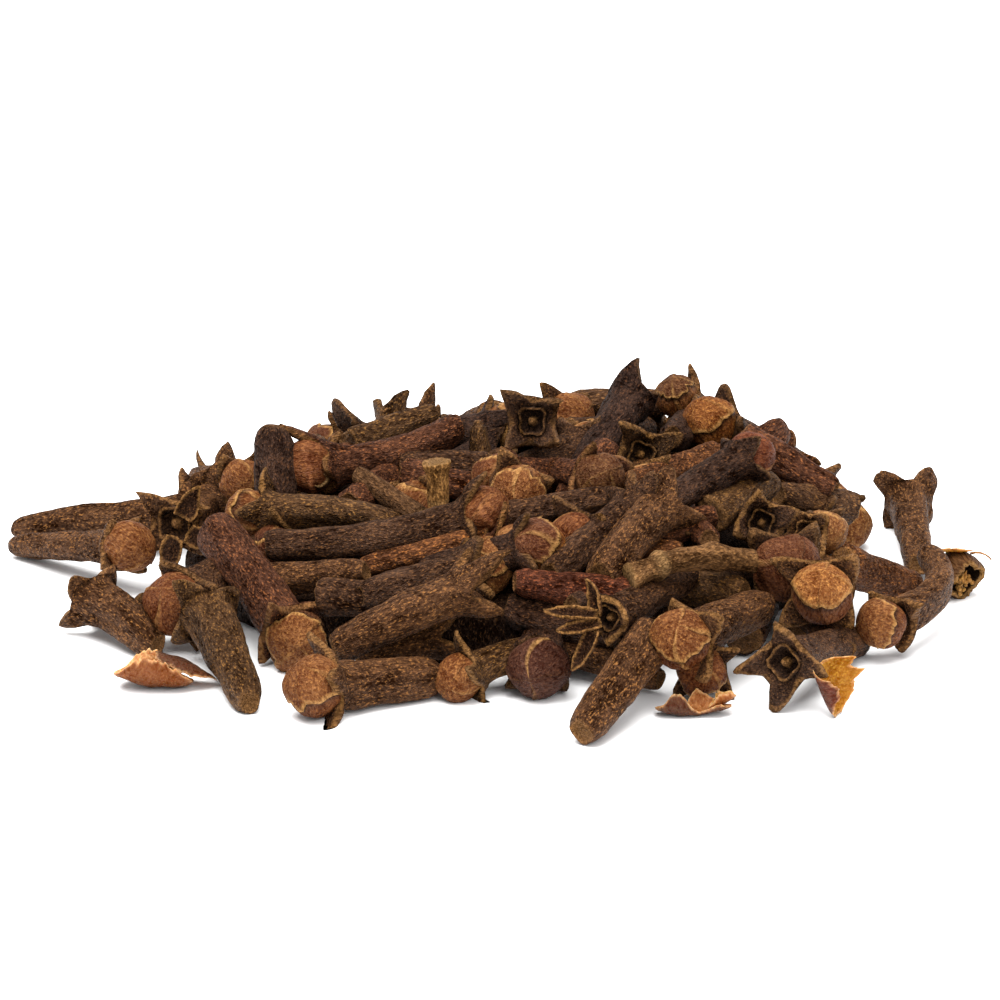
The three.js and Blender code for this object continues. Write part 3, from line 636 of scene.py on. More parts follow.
class Sepals:
    """The four sepals, for each column of the clove: where it lies in its sepal, and their shapes."""

    def __init__(self, clove, turn, dice):
        quarter = (turn - clove.roll) / (math.pi / 2)
        nearest = np.round(quarter)
        which = nearest.astype(int) % 4
        self.share = (quarter - nearest) * 2
        self.angle = self.share * math.pi / 4
        self.middle = clove.roll + nearest * math.pi / 2
        self.girth = clove.girth
        size = clove.traits.get("sepals", 1.0) * clove.girth
        spread = clove.traits.get("spread", SEPAL_SPREAD[clove.kind])
        self.spread = np.radians(spread + SPREAD_VARIES * spread_draws(dice, 4))[which]
        curl = np.radians(SEPAL_CURL[clove.kind] + CURL_VARIES * spread_draws(dice, 4))[which]
        self.curl = np.where(np.abs(curl) < 0.05, 0.05, curl)
        each = np.array(clove.traits.get("long", (1, 1, 1, 1)))
        varied = 1 + LENGTH_VARIES * spread_draws(dice, 4)
        self.long = (SEPAL_LENGTH[clove.kind] * size * each * varied)[which]
        self.sway = (SWAY * spread_draws(dice, 4))[which]
        point = (clove.traits.get("point", 1.15) + 0.5 * dice.random(4))[which]
        ragged = around_circle(turn, 3.3, clove.number + 5)
        self.reach = np.maximum((1 - np.abs(self.share) ** point) ** 0.9 * (1 + 0.22 * ragged), 0.05)
        self.base = (FLARE[-1][1] - SEPAL_THICKNESS / 2) * clove.girth
        self.foot = clove.length + SEPAL_BASE * clove.girth

    def turned(self, radial, tangent, up):
        """Points from a sepal's own directions to the clove's."""
        spin, cosine = np.sin(self.middle), np.cos(self.middle)
        x = radial * spin + tangent * cosine
        y = radial * cosine - tangent * spin
        return np.stack([x, y, np.broadcast_to(up, x.shape)], axis=-1)

    def ring(self, part, side):
        """A ring over the sepals. part runs from their base to their rim, side is 1 outside."""
        share = self.reach * part
        lean = self.spread + self.curl * share
        out = self.long * (np.cos(self.spread) - np.cos(lean)) / self.curl
        up = self.long * (np.sin(lean) - np.sin(self.spread)) / self.curl
        thick = SEPAL_THICKNESS * self.girth * (1 - 0.5 * share) * (1 - 0.35 * smooth(0.6, 1, part))
        start = smooth(0, 0.3, share)
        shift = side * thick / 2
        cosine, sine = np.cos(self.angle), np.sin(self.angle)
        radial = self.base * cosine + out + shift * (np.cos(lean) * start + (1 - start) * cosine)
        tangent = self.base * sine * (1 + 0.12 * share) + self.sway * self.long * share * share
        tangent = tangent + shift * (1 - start) * sine
        radial = radial + KEEL * self.girth * side * (1 - np.abs(self.share)) * start
        return self.turned(radial, tangent, self.foot + up - shift * np.sin(lean) * start)

    def level(self, radius, height):
        """A level ring around the clove's axis."""
        return self.turned(radius * np.cos(self.angle), radius * np.sin(self.angle), height)


def head_rings(clove, look, turn, dice):
    """The flare under the sepals, the four sepals outside and inside, and the disc between them."""
    girth = clove.girth
    sepals = Sepals(clove, turn, dice)
    light = clove.traits.get("rim", 0.16 + 0.3 * dice.random())
    points, masks = [], []

    def keep(ring, rim=0.0, painted_shade=0.0):
        points.append(ring)
        masks.append(masks_of(len(turn), rim=rim, painted_shade=painted_shade))

    for height, radius in FLARE:
        keep(sepals.level(radius * girth, clove.length + height * girth))
    for step in range(1, look.sepal_rings + 1):
        part = 0.97 * step / look.sepal_rings
        keep(sepals.ring(part, 1), rim=0.7 * light * smooth(0.8, 1, part))
    keep(sepals.ring(1.03, 0), rim=light)
    # Painted shade inside the sepals, deepest at their base.
    inner_painted_shade = 0.25 if clove.kind == "bud" else 0.5
    for step in range(look.sepal_rings, -1, -1):
        part = 0.97 * step / look.sepal_rings
        keep(sepals.ring(part, -1), rim=0.8 * light * smooth(0.8, 1, part), painted_shade=inner_painted_shade * (1 - 0.8 * part))
    if clove.kind == "bud":
        # The disc under the bud is painted black as shade.
        keep(sepals.level(1.1 * girth, sepals.foot + 0.05 * girth), painted_shade=1)
        middle = np.array([0, 0, sepals.foot + 0.05 * girth])
        return np.array(points), np.array(masks), middle, (0.5, 0, 0, 1)

    corner = 0.12 * np.cos(4 * (turn - clove.roll))
    wavy = around_circle(turn, 2.6, clove.number + 3)
    finer = around_circle(turn, 6.5, clove.number + 4)
    disc = clove.traits.get("disc", 0.92)
    for index, (radius, height) in enumerate(OPEN_DISC):
        nub = index >= len(OPEN_DISC) - 2
        crest = index in DISC_RING
        size = radius * disc * girth * (1 + corner * min(1, radius) + 0.09 * wavy + 0.06 * finer)
        lift = height + (0.28 * wavy + 0.16 * finer) * (radius > 0.5)
        rim = 0.7 * light if crest else 0.5 if nub else 0.0
        # Painted shade in the disc's hollow; its ring's crest and its nub get little.
        painted_shade = 0.1 if crest or nub else 0.75
        keep(sepals.level(size, sepals.foot + lift * girth), rim, painted_shade)
    middle = np.array([0, 0, sepals.foot + 0.2 * girth])
    return np.array(points), np.array(masks), middle, (0.7, 0.6, 0, 0)


def add_body(batch, clove, look, dice):
    """The stem with its sepals, or with its broken end, as one closed surface."""
    turn = turns(look.columns) + clove.roll
    stem, stem_masks = stem_rings(clove, look, turn, dice)
    head = head_rings(clove, look, turn, dice) if clove.kind in HEADED else end_rings(clove, turn)
    local = np.concatenate([stem, head[0]])
    masks = np.concatenate([stem_masks, head[1]])
    last, last_mask = head[2:]

    offset = dice.random(3) * NOISE_SPAN
    girth = clove.girth
    relief = wrinkles(local + offset)
    height = local[..., 2]
    cap = smooth(0, 1.2, height)
    headward = smooth(clove.length + 0.4 * girth, clove.length + 2.2 * girth, height)
    outward = local[..., :2] / np.maximum(np.linalg.norm(local[..., :2], axis=-1), 0.3)[..., None]
    shaped = local.copy()
    depth = WRINKLE_DEPTH[0] + WRINKLE_DEPTH[1] * cap
    shaped[..., :2] += outward * (girth * relief * depth * (1 - 0.4 * headward))[..., None]
    shaped += crumple(local + offset, 0.45) * (BENT[0] + BENT[1] * headward)[..., None]
    shaped += crumple(local - offset, 1.2) * (DENTED[0] + DENTED[1] * headward)[..., None]
    # The crest mask follows the relief: lighter on the folds, darker in their valleys, partly painted light
    # and shade.
    masks[..., 0] = np.clip(0.5 + 0.5 * relief, 0, 1)

    foot = np.array([0, 0, stem[0, :, 2].mean()])
    ends = np.stack([foot, last])
    every = clove.place(with_ends(shaped, ends))
    grain = with_ends(local, ends) + offset
    # The tail's middle point gets painted shade too.
    masks = with_ends(masks, [(0.4, 0, 0.9, 0.5), last_mask])
    batch.add(every, tube(len(local), look.columns), grain, masks, clove.skin, clove.material)


# Where the columns of a petal cap lie within one of its four petals: close together at the edge
# where one petal steps up over the next.
PETAL_COLUMNS = (0.0, 0.035, 0.12, 0.22, 0.34, 0.46, 0.58, 0.7, 0.82, 0.92, 0.975)
RINGS_UNDER = 9             # rings of the cap under its torn edge
RINGS_OVER = 14             # and from the edge to the top
CAP_FOOT = math.radians(170)        # where its first ring lies, from its top
CAP_ASIDE = (0.31, 0.87, 0.38)      # a direction that no cap points in
TORN_RIM = {RINGS_UNDER: 1.0, RINGS_UNDER + 1: 0.55}        # how light the rings over the tear are
# The rings under the torn edge get painted shade, as under a ledge.
TORN_PAINTED_SHADE = {RINGS_UNDER - 1: 0.9, RINGS_UNDER - 2: 0.3}     # how dark those under it are


def cap_axes(clove, dice):
    """Two directions square to each other, and where the top of the petal cap points."""
    return axes_along(clove.traits.get("cap", clove.along + 0.35 * spread_draws(dice, 3)), CAP_ASIDE)


class Petals:
    """The four petals of a cap, for each column: how they overlap, and where they are torn."""

    def __init__(self, clove, dice):
        self.girth = clove.girth
        self.size = BUD_RADIUS * clove.girth * clove.traits.get("dome", 1.0)
        torn = clove.traits.get("edge", 0 if dice.random() < 0.5 else 60 + 40 * dice.random())
        self.torn = torn > 0
        wander = math.radians(30 if torn else 0)
        edge = math.radians(torn or 85) + wander * around_circle(np.zeros(1), 1, clove.number)
        self.twist = math.radians(20 + 30 * dice.random()) * (1 if dice.random() < 0.5 else -1)
        start = 2 * math.pi * dice.random()
        turn = np.array([(petal + share) * math.pi / 2 for petal in range(4) for share in PETAL_COLUMNS])
        self.turn = start + turn
        self.within = np.tile(PETAL_COLUMNS, 4)
        self.lift = np.repeat(0.4 + 0.9 * dice.random(4), len(PETAL_COLUMNS))
        self.seam = np.repeat(0.6 * dice.random(4) ** 2, len(PETAL_COLUMNS))
        ragged = 0.6 * around_circle(turn, 1.3, clove.number)
        ragged = ragged + 0.35 * around_circle(turn, 4.2, clove.number)
        edge = edge + (clove.traits.get("ragged", 0.9) if torn else 0.0) * ragged
        self.polar = [CAP_FOOT + (edge - CAP_FOOT) * step / (RINGS_UNDER - 1) for step in range(RINGS_UNDER)]
        self.polar += [edge * (1 - step / RINGS_OVER) for step in range(RINGS_OVER)]

    def ring(self, index):
        """The points of a ring, counted from the foot of the cap."""
        angle = self.polar[index]
        step = PETAL_STEP * self.girth * self.lift * (self.within / PETAL_COLUMNS[-1] - 0.5)
        ledge = TORN_STEP * self.girth if self.torn and index >= RINGS_UNDER else 0.0
        radius = self.size + step * smooth(0.12, 0.6, angle) + ledge
        spin = self.turn + self.twist * (1 - np.cos(angle)) * 0.5
        out = radius * np.sin(angle) * (1 + 0.035 * np.cos(4 * spin))
        up = radius * np.cos(angle) + 0.12 * self.girth * np.exp(-((angle / 0.3) ** 2))
        return ring_points(out, spin, up)

    def masks(self, index):
        """Light edges of the petals, with painted shade in the gap beside each and under a torn edge."""
        rim = np.where(self.within > 0.9, self.seam, 0.0)
        painted_shade = np.where(self.within < 0.02, self.seam, 0.0)
        if self.torn:
            rim = np.maximum(rim, TORN_RIM.get(index, 0.0))
            painted_shade = np.maximum(painted_shade, TORN_PAINTED_SHADE.get(index, 0.0))
        return masks_of(len(self.within), rim=rim, painted_shade=painted_shade)


def add_cap(batch, clove, dice):
    """The petal cap: four petals folded over each other into a ball, some torn off part of the way."""
    petals = Petals(clove, dice)
    local = np.array([petals.ring(index) for index in range(RINGS_UNDER + RINGS_OVER)])
    masks = np.array([petals.masks(index) for index in range(RINGS_UNDER + RINGS_OVER)])
    under = BUDS[clove.traits["under"]] if "under" in clove.traits else clove.cap_colour
    lower = under if petals.torn else clove.cap_colour
    tints = np.array([lower] * RINGS_UNDER + [clove.cap_colour] * RINGS_OVER)
    tints = np.repeat(tints[:, None], len(petals.turn), axis=1)
    offset = dice.random(3) * NOISE_SPAN
    folds = 0.5 - 2.2 * np.abs(perlin(local * 0.9 + offset))
    net = 0.5 - 2.2 * np.abs(perlin(local * 2.8 - offset))
    shaped = local * (1 + CAP_FOLD_DEPTH * folds + CAP_NET_DEPTH * net)[..., None]
    bent = CAP_BENT * crumple(local + offset, 0.4)
    shaped += clove.girth * (bent + CAP_DENTED * crumple(local - offset, 1.3))
    # The crest mask follows the cap's folds: lighter on them, darker between, partly painted light and
    # shade.
    masks[..., 0] = np.clip(0.5 + 0.22 * folds + 0.2 * net, 0, 1)
    ends = np.stack([shaped[0].mean(axis=0), shaped[-1].mean(axis=0) + (0, 0, 0.03)])
    grain = with_ends(local, ends) + offset
    masks = with_ends(masks, [(0.5, 0, 0, 0), (0.6, 0.1, 0, 0)])
    tints = with_ends(tints, [under, clove.cap_colour])
    middle = clove.place(np.array([0, 0, clove.length + BUD_MIDDLE * clove.girth]))
    every = middle + with_ends(shaped, ends) @ cap_axes(clove, dice)
    batch.add(every, tube(len(local), len(petals.turn)), grain, masks, tints, 1)


def add_clove(batch, clove, look):
    dice = np.random.default_rng(DICE_BASE + clove.number)
    add_body(batch, clove, look, dice)
    if clove.kind == "bud":
        add_cap(batch, clove, dice)


NODES = ((0.02, 0.06, 0.35), (0.24, 0.05, 0.4), (0.7, 0.07, 0.3))   # place, length and height


def add_twig(batch, clove):
    """A thin woody stalk with nodes and a flared end."""
    dice = np.random.default_rng(DICE_BASE + clove.number)
    columns, rings = 24, 48
    turn = turns(columns)
    share = np.linspace(0, 1, rings)
    nodes = clove.traits.get("nodes", NODES)
    swell = 1.02 + sum(high * np.exp(-((share - place) / long) ** 2) for place, long, high in nodes)
    ribs = 1 + 0.07 * np.cos(3 * turn + 5 * share[:, None])
    around = (STEM_RADIUS * clove.girth * swell)[:, None] * ribs
    up = np.broadcast_to((share * clove.length)[:, None], around.shape)
    local = ring_points(around, turn, up)
    offset = dice.random(3) * NOISE_SPAN
    relief = wrinkles(local * (1.6, 1.6, 1) + offset)
    shaped = local.copy()
    shaped[..., :2] *= (1 + 0.1 * relief)[..., None]
    shaped += 0.2 * crumple(local + offset, 0.4)
    masks = np.zeros((rings, columns, 4))
    # The crest mask follows the relief: lighter on the ridges, darker between, partly painted light and
    # shade.
    masks[..., 0] = np.clip(0.5 + 0.5 * relief, 0, 1)
    masks[0, :, 1] = 0.5
    masks[..., 2] = (0.45 * np.exp(-((share - nodes[-2][0]) / 0.04) ** 2))[:, None]
    ends = np.array([(0, 0, 0.08), (0, 0, clove.length + 0.1)])
    every = clove.place(with_ends(shaped, ends))
    grain = with_ends(local, ends) + offset
    # The tail's middle point gets painted shade.
    masks = with_ends(masks, [(0.3, 0.2, 0.5, 0.6), (0.5, 0, 0.4, 0)])
    batch.add(every, tube(rings, columns), grain, masks, clove.skin, clove.material)


# ---- the rest of the heap ----

def heap_top(x, y):
    """Height of the tops of the cloves over the surface."""
    inside = 1 - (x / HEAP_HALF_WIDTH) ** 2 - ((y - HEAP_MIDDLE_Y) / HEAP_HALF_DEPTH) ** 2
    lean = 1 + HEAP_LEAN * x / HEAP_HALF_WIDTH
    return HEAP_HEIGHT * inside ** SLOPE_POWER * lean if inside > 0 else 0.0


def seeded_draws(seed):
    state = seed
    while True:
        state = (state * 1664525 + 1013904223) % 4294967296
        yield state / 4294967296


def between(pair, share):
    return pair[0] + (pair[1] - pair[0]) * share


def axis_distances(clove, tails, tips):
    """Least distance from a clove's axis to each of the others'."""
    first = clove.tip - clove.tail
    second = tips - tails
    apart = clove.tail - tails
    first_square = first @ first
    second_square = np.einsum("ij,ij->i", second, second)
    both = second @ first
    first_apart = apart @ first
    second_apart = np.einsum("ij,ij->i", second, apart)
    crossing = first_square * second_square - both * both
    place = (both * second_apart - first_apart * second_square) / np.maximum(crossing, 1e-9)
    on_first = np.where(crossing > 1e-9, np.clip(place, 0, 1), 0)
    on_second = np.clip((both * on_first + second_apart) / second_square, 0, 1)
    on_first = np.clip((both * on_second - first_apart) / first_square, 0, 1)
    gap = apart + on_first[:, None] * first - on_second[:, None] * second
    return np.linalg.norm(gap, axis=1)


def scatter(layer, lying, allowed):
    """Cloves strewn over the heap at a depth under its tops, clear of those that lie there."""
    draws = seeded_draws(layer.seed)
    tails = [c.tail for c in lying]
    tips = [c.tip for c in lying]
    gaps = [layer.gap + c.clearance for c in lying]
    buds = list(BUDS)
    added = []
    for _ in range(layer.tries):
        reach = math.sqrt(next(draws))
        place = 2 * math.pi * next(draws)
        heading = 2 * math.pi * next(draws)
        length = between(STREWN_LENGTH, next(draws))
        sort = next(draws)
        girth = between(STREWN_GIRTH, next(draws))
        side = between((-STREWN_BOW, STREWN_BOW), next(draws))
        roll = between((0, 90), next(draws))
        lift = between((-STREWN_LIFT, STREWN_LIFT), next(draws))
        x = reach * math.cos(place) * HEAP_HALF_WIDTH
        y = reach * math.sin(place) * HEAP_HALF_DEPTH + HEAP_MIDDLE_Y
        dx = math.cos(heading) * length / 2
        dy = math.sin(heading) * length / 2
        tail_z = max(heap_top(x - dx, y - dy) - layer.depth + lift, TAIL_FLOOR)
        neck_z = max(heap_top(x + dx, y + dy) - layer.depth - lift, NECK_FLOOR)
        kind = "bud" if sort < STREWN_BUDS else "star" if sort < STREWN_BUDS + STREWN_STARS else "stem"
        skin = STREWN_SKINS[len(added) * 5 % len(STREWN_SKINS)]
        bud = buds[len(added) * 3 % len(buds)]
        row = (kind, x - dx, y - dy, tail_z, x + dx, y + dy, neck_z, side, 0, girth, roll, skin, bud)
        clove = Clove(row, layer.number + len(added))
        if not allowed(clove):
            continue
        if tails and np.any(axis_distances(clove, np.array(tails), np.array(tips)) <= np.array(gaps)):
            continue
        added.append(clove)
        tails.append(clove.tail)
        tips.append(clove.tip)
        gaps.append(layer.gap)
    return added


def on_the_back(clove):
    """Behind the cloves that are placed one by one, and not on the heap's very edge."""
    ends = (clove.tail, clove.tip)
    return all(y > BACK_FRONT and heap_top(x, y) > BACK_EDGE for x, y, _ in ends)


def over_the_core(clove):
    """Within the core's reach, at both ends."""
    ends = (clove.tail, clove.tip)
    shares = [(x / CORE_HALF_WIDTH, (y - CORE_MIDDLE_Y) / CORE_HALF_DEPTH) for x, y, _ in ends]
    return all(math.hypot(*share) < UNDER_REACH for share in shares)


def add_core(batch):
    """The heart of the heap, under two layers of cloves, painted dark as shade where it shows between them.
    """
    columns, rings = 96, 30
    turn = turns(columns)
    shares = np.concatenate([[0.94, 1.0, 1.0], np.sqrt(np.linspace(0.97, 0.003, rings - 3))])
    x = shares[:, None] * np.cos(turn) * CORE_HALF_WIDTH
    y = shares[:, None] * np.sin(turn) * CORE_HALF_DEPTH + CORE_MIDDLE_Y
    tops = np.array([[heap_top(*spot) for spot in zip(*ring)] for ring in zip(x, y)])
    lumps = 0.7 * perlin(np.stack([x * 0.35, y * 0.35, x * 0], axis=-1))
    z = np.maximum(tops - CORE_COVER + lumps, 0.3)
    z[0] = 0
    z[1] = 0.15
    ends = [(0, CORE_MIDDLE_Y, 0), (0, CORE_MIDDLE_Y, z[-1].mean())]
    every = with_ends(np.stack([x, y, z], axis=-1), ends)
    # Painted shade darkens the core, over its dark skin.
    masks = masks_of(len(every), crest=0.3, painted_shade=0.6)
    batch.add(every, tube(rings, columns), every, masks, SKINS["dark"])


# ---- petal flakes and the broken head ----

# Colours of a flake, multiplied over its own.
FLAKES = {
    "brown": (0.52, 0.45, 0.34),
    "dark": (0.2, 0.16, 0.13),
    "purple": (0.26, 0.2, 0.34),
    "peach": (1.0, 1.05, 1.15),
    "cream": (1.55, 2.3, 3.7),
    "skin": (0.75, 0.7, 0.72),
    "shade": (0.55, 0.5, 0.46),
    "golden": (0.95, 1.1, 0.16),
    "orange": (0.75, 0.68, 0.5),
}
# Sheets that the flakes are made of: place of the middle of the keel, which way the keel runs, which
# way the trough opens, length, widths from the keel to the near edge and to the far one, radius of
# the trough on the near side and on the far one, degrees the keel bends, colour outside and inside,
# whether it drops onto the surface.
SHEETS = {
    "petal_left": (
        ((-24.4, -25.6, 0), (1, 0, -0.12), (0, 0.14, 0.98), 5.8,
         (1.0, 3.0, 3.5, 3.5, 3.3, 2.8, 1.3), (0.4, 2.4, 3.2, 3.3, 2.7, 1.6, 0.5), (2.15, 1.8), 46,
         "brown", "cream", True),
        ((-21.95, -25.1, 1.75), (0.9, -0.05, -0.44), (0.05, -0.3, -0.95), 4.8,
         (1.4, 1.8, 1.7, 1.8, 1.2, 0.3), (1.4, 1.9, 2.0, 1.6, 0.9, 0.3), (1.8, 1.7), 30,
         "dark", "orange", False),
    ),
    "petal_front": (
        ((13.4, -31.3, 0), (1, 0.06, 0.03), (0, 0.25, 0.97), 5.4,
         (0.3, 1.9, 2.2, 1.3, 0.6, 0.9, 1.1, 0.3), (0.3, 1.0, 1.0, 1.2, 2.4, 1.7, 1.0, 0.3), (1.05, 1.0), 44,
         "dark", "peach", True),
        ((15.4, -31.0, 0.85), (0.9, 0.1, 0.4), (-0.4, 0.2, 0.9), 2.0,
         (0.4, 1.1, 0.8), (0.5, 1.2, 0.7), (0.65, 0.65), 20, "orange", "golden", False),
    ),
    "petal_right": (
        ((22.35, -31.2, 0), (-0.42, 0.02, 0.9), (0.76, -0.5, 0.4), 3.9,
         (0.3, 1.3, 2.1, 2.2, 1.8, 0.6), (0.5, 2.2, 2.6, 3.7, 2.7, 3.3, 1.0), (0.9, 2.5), 22,
         "purple", "golden", True),
    ),
    "broken_head": (
        ((33.5, -6.6, 3.66), (1, -0.05, 0.0), (0, 0.3, 0.95), 3.1,
         (0.5, 1.1, 1.0, 1.1, 0.8, 0.25), (0.6, 0.9, 1.0, 1.0, 0.7, 0.2), (2.6, 2.6), 18,
         "golden", "peach", False),
    ),
}
SHEET_THICKNESS = 0.13
BOAT_THICKNESS = 0.26
BOAT_RINGS = 26
BOAT_COLUMNS = 16
EDGE_WIDTH = 0.26           # how far in from its edge a flake is lighter
TORN = (0.22, 0.14)         # depth of the large and the small tears, as shares of the width
# The numbers of sheets, which seed their noise.
LOOSE_PETAL_NUMBER = 7
BOAT_NUMBER = 600
SHEET_STEP = 11             # from one sheet of a flake to the next
BOAT_STEP = 7               # from one boat-shaped sepal to the next
FLAKE_NUMBERS = {"petal_left": 10, "petal_front": 11, "petal_right": 11}
BOAT_COLOURS = ("skin", "shade")
# The boat-shaped sepals of two open cloves, in the same form as the sheets up to the bend.
BOATS = (
    ((-24.5, -6.1, 3.15), (-0.3, -0.12, -0.94), (-0.15, -0.95, 0.2), 3.2,
     (0.8, 1.0, 0.9, 0.55, 0.1), (0.8, 1.0, 0.9, 0.55, 0.1), (0.9, 0.9), 30),
    ((-22.1, -6.4, 4.5), (0.85, -0.1, -0.5), (0.0, -0.95, 0.25), 2.5,
     (0.8, 0.95, 0.8, 0.5, 0.1), (0.8, 0.95, 0.8, 0.5, 0.1), (0.9, 0.9), 34),
    ((-22.9, -6.2, 7.5), (0.5, 0.05, 0.86), (0.1, -0.97, 0.0), 2.8,
     (0.8, 1.0, 0.85, 0.5, 0.1), (0.8, 1.0, 0.85, 0.5, 0.1), (0.9, 0.9), 40),
    ((4.9, -28.3, 6.35), (-1, 0, 0.1), (0, -0.5, 0.87), 3.9,
     (0.5, 0.75, 0.8, 0.7, 0.4, 0.1), (0.5, 0.8, 0.85, 0.75, 0.4, 0.1), (0.5, 0.5), 34),
    ((5.5, -28.8, 5.55), (-0.95, -0.1, -0.12), (0.1, -0.7, 0.7), 3.2,
     (0.45, 0.65, 0.65, 0.5, 0.1), (0.45, 0.65, 0.65, 0.5, 0.1), (0.42, 0.42), 40),
    ((6.0, -28.9, 4.0), (-0.5, -0.15, -0.85), (-0.6, -0.75, 0.2), 3.4,
     (0.6, 0.85, 0.8, 0.6, 0.1), (0.6, 0.9, 0.85, 0.6, 0.1), (0.6, 0.6), 40),
    ((6.7, -27.9, 7.7), (-0.3, 0.05, 0.95), (-0.75, -0.65, -0.1), 3.0,
     (0.6, 0.8, 0.75, 0.5, 0.1), (0.6, 0.85, 0.8, 0.5, 0.1), (0.55, 0.55), 75),
)


def sheet_faces(rings, columns):
    """Faces of a sheet: its outer side, its inner side and the border between them."""
    half = rings * columns
    faces = []
    for start in range(0, half - columns, columns):
        for here in range(start, start + columns - 1):
            there = here + columns
            faces.append((here, here + 1, there + 1, there))
            faces.append((half + here, half + there, half + there + 1, half + here + 1))
    border = [
        *range(columns),
        *range(2 * columns - 1, half, columns),
        *range(half - 2, half - columns - 1, -1),
        *range(half - 2 * columns, 0, -columns),
    ]
    for here, there in zip(border, border[1:] + border[:1]):
        faces.append((here, half + here, half + there, there))
    return faces


def torn_width(widths, share, seed):
    """The width at each share of a sheet's length, with a torn edge."""
    large = line_noise(share * 3.1, seed)
    small = line_noise(share * 9.0, seed + 5)
    even = np.interp(share, np.linspace(-1, 1, len(widths)), widths)
    return even * (1 + TORN[0] * large + TORN[1] * small)


def trough(sheet, number, rings, columns):
    """A torn trough bent along its keel: its points, and how near its edge and its keel they lie."""
    long, near, far, radius, bend = sheet[3:8]
    lengthwise = np.linspace(-1, 1, rings)[:, None]
    crosswise = np.linspace(-1, 1, columns)[None, :]
    is_near = crosswise < 0
    widths = (torn_width(near, lengthwise, number), torn_width(far, lengthwise, number + 40))
    reach = np.where(is_near, *widths)
    across = np.abs(crosswise) * reach
    run = lengthwise * long / 2 * (1 + 0.1 * line_noise(crosswise * 2.6, number + 80))
    curve = np.where(is_near, radius[0], radius[1])
    sideways = curve * np.sin(across / curve) * np.where(is_near, 1, -1)
    high = curve * (1 - np.cos(across / curve))
    bend_radius = long / math.radians(bend)
    x = (bend_radius - high) * np.sin(run / bend_radius)
    z = bend_radius - (bend_radius - high) * np.cos(run / bend_radius)
    local = np.stack([x, sideways, z], axis=-1)
    local = local + 0.16 * crumple(local + number, 0.7) + 0.07 * crumple(local - number, 2.1)
    from_edge = np.minimum(reach - across, long / 2 - np.abs(lengthwise) * long / 2)
    edge = smooth(EDGE_WIDTH, 0.03, from_edge)
    keel = 0.7 * smooth(0.75, 0.0, across / np.maximum(reach, 0.2))
    return local, edge, keel


def add_sheet(batch, sheet, number, material=0, rings=52, columns=34, thickness=SHEET_THICKNESS):
    """A thin dry petal, with a lighter edge and painted shade along its keel, stronger outside than inside.
    """
    place, along, opening = sheet[:3]
    outside, inside, lies = sheet[8:]
    along = unit(along)
    side = unit(np.cross(opening, along))
    if side[1] > 0:
        side = -side
    opening = unit(opening - (np.array(opening) @ along) * along)
    local, edge, keel = trough(sheet, number, rings, columns)
    middle = local[..., :1] * along + local[..., 1:2] * side + local[..., 2:] * opening
    normal = np.cross(np.gradient(middle, axis=0), np.gradient(middle, axis=1))
    normal /= np.maximum(np.linalg.norm(normal, axis=-1), 1e-9)[..., None]
    if (normal @ opening).sum() < 0:
        normal = -normal
    thick = thickness * (1 - 0.6 * edge)[..., None]
    points = np.stack([middle - normal * thick / 2, middle + normal * thick / 2]).reshape(-1, 3) + place
    if lies:
        points[:, 2] -= points[:, 2].min() - 0.01
    # Painted shade along the keel, strong on the outer side and weak on the inner.
    masks = np.concatenate([
        masks_of(edge.size, crest=0.5, rim=rim * edge.ravel(), painted_shade=painted_shade * keel.ravel())
        for rim, painted_shade in ((0.6, 1.0), (0.8, 0.3))
    ])
    tints = np.repeat([FLAKES[outside], FLAKES[inside]], edge.size, axis=0)
    grain = np.tile(local.reshape(-1, 3), (2, 1)) + number * 3.3
    batch.add(points, sheet_faces(rings, columns), grain, masks, tints, material)


CUP_PLACE = (34.15, -6.4, 1.8)
CUP_AXIS = (0.52, -0.8, -0.3)
CUP_SIZE = 1.84
CUP_WALL = 0.8              # inner radius as a share of the outer
CUP_MOUTH = 56              # degrees from its axis
CUP_BOTTOM = (math.radians(174), math.radians(168))     # first ring outside, last ring inside
CUP_TINT = (0.36, 0.29, 0.19)
CUP_INNER_TINT = (0.1, 0.09, 0.08)


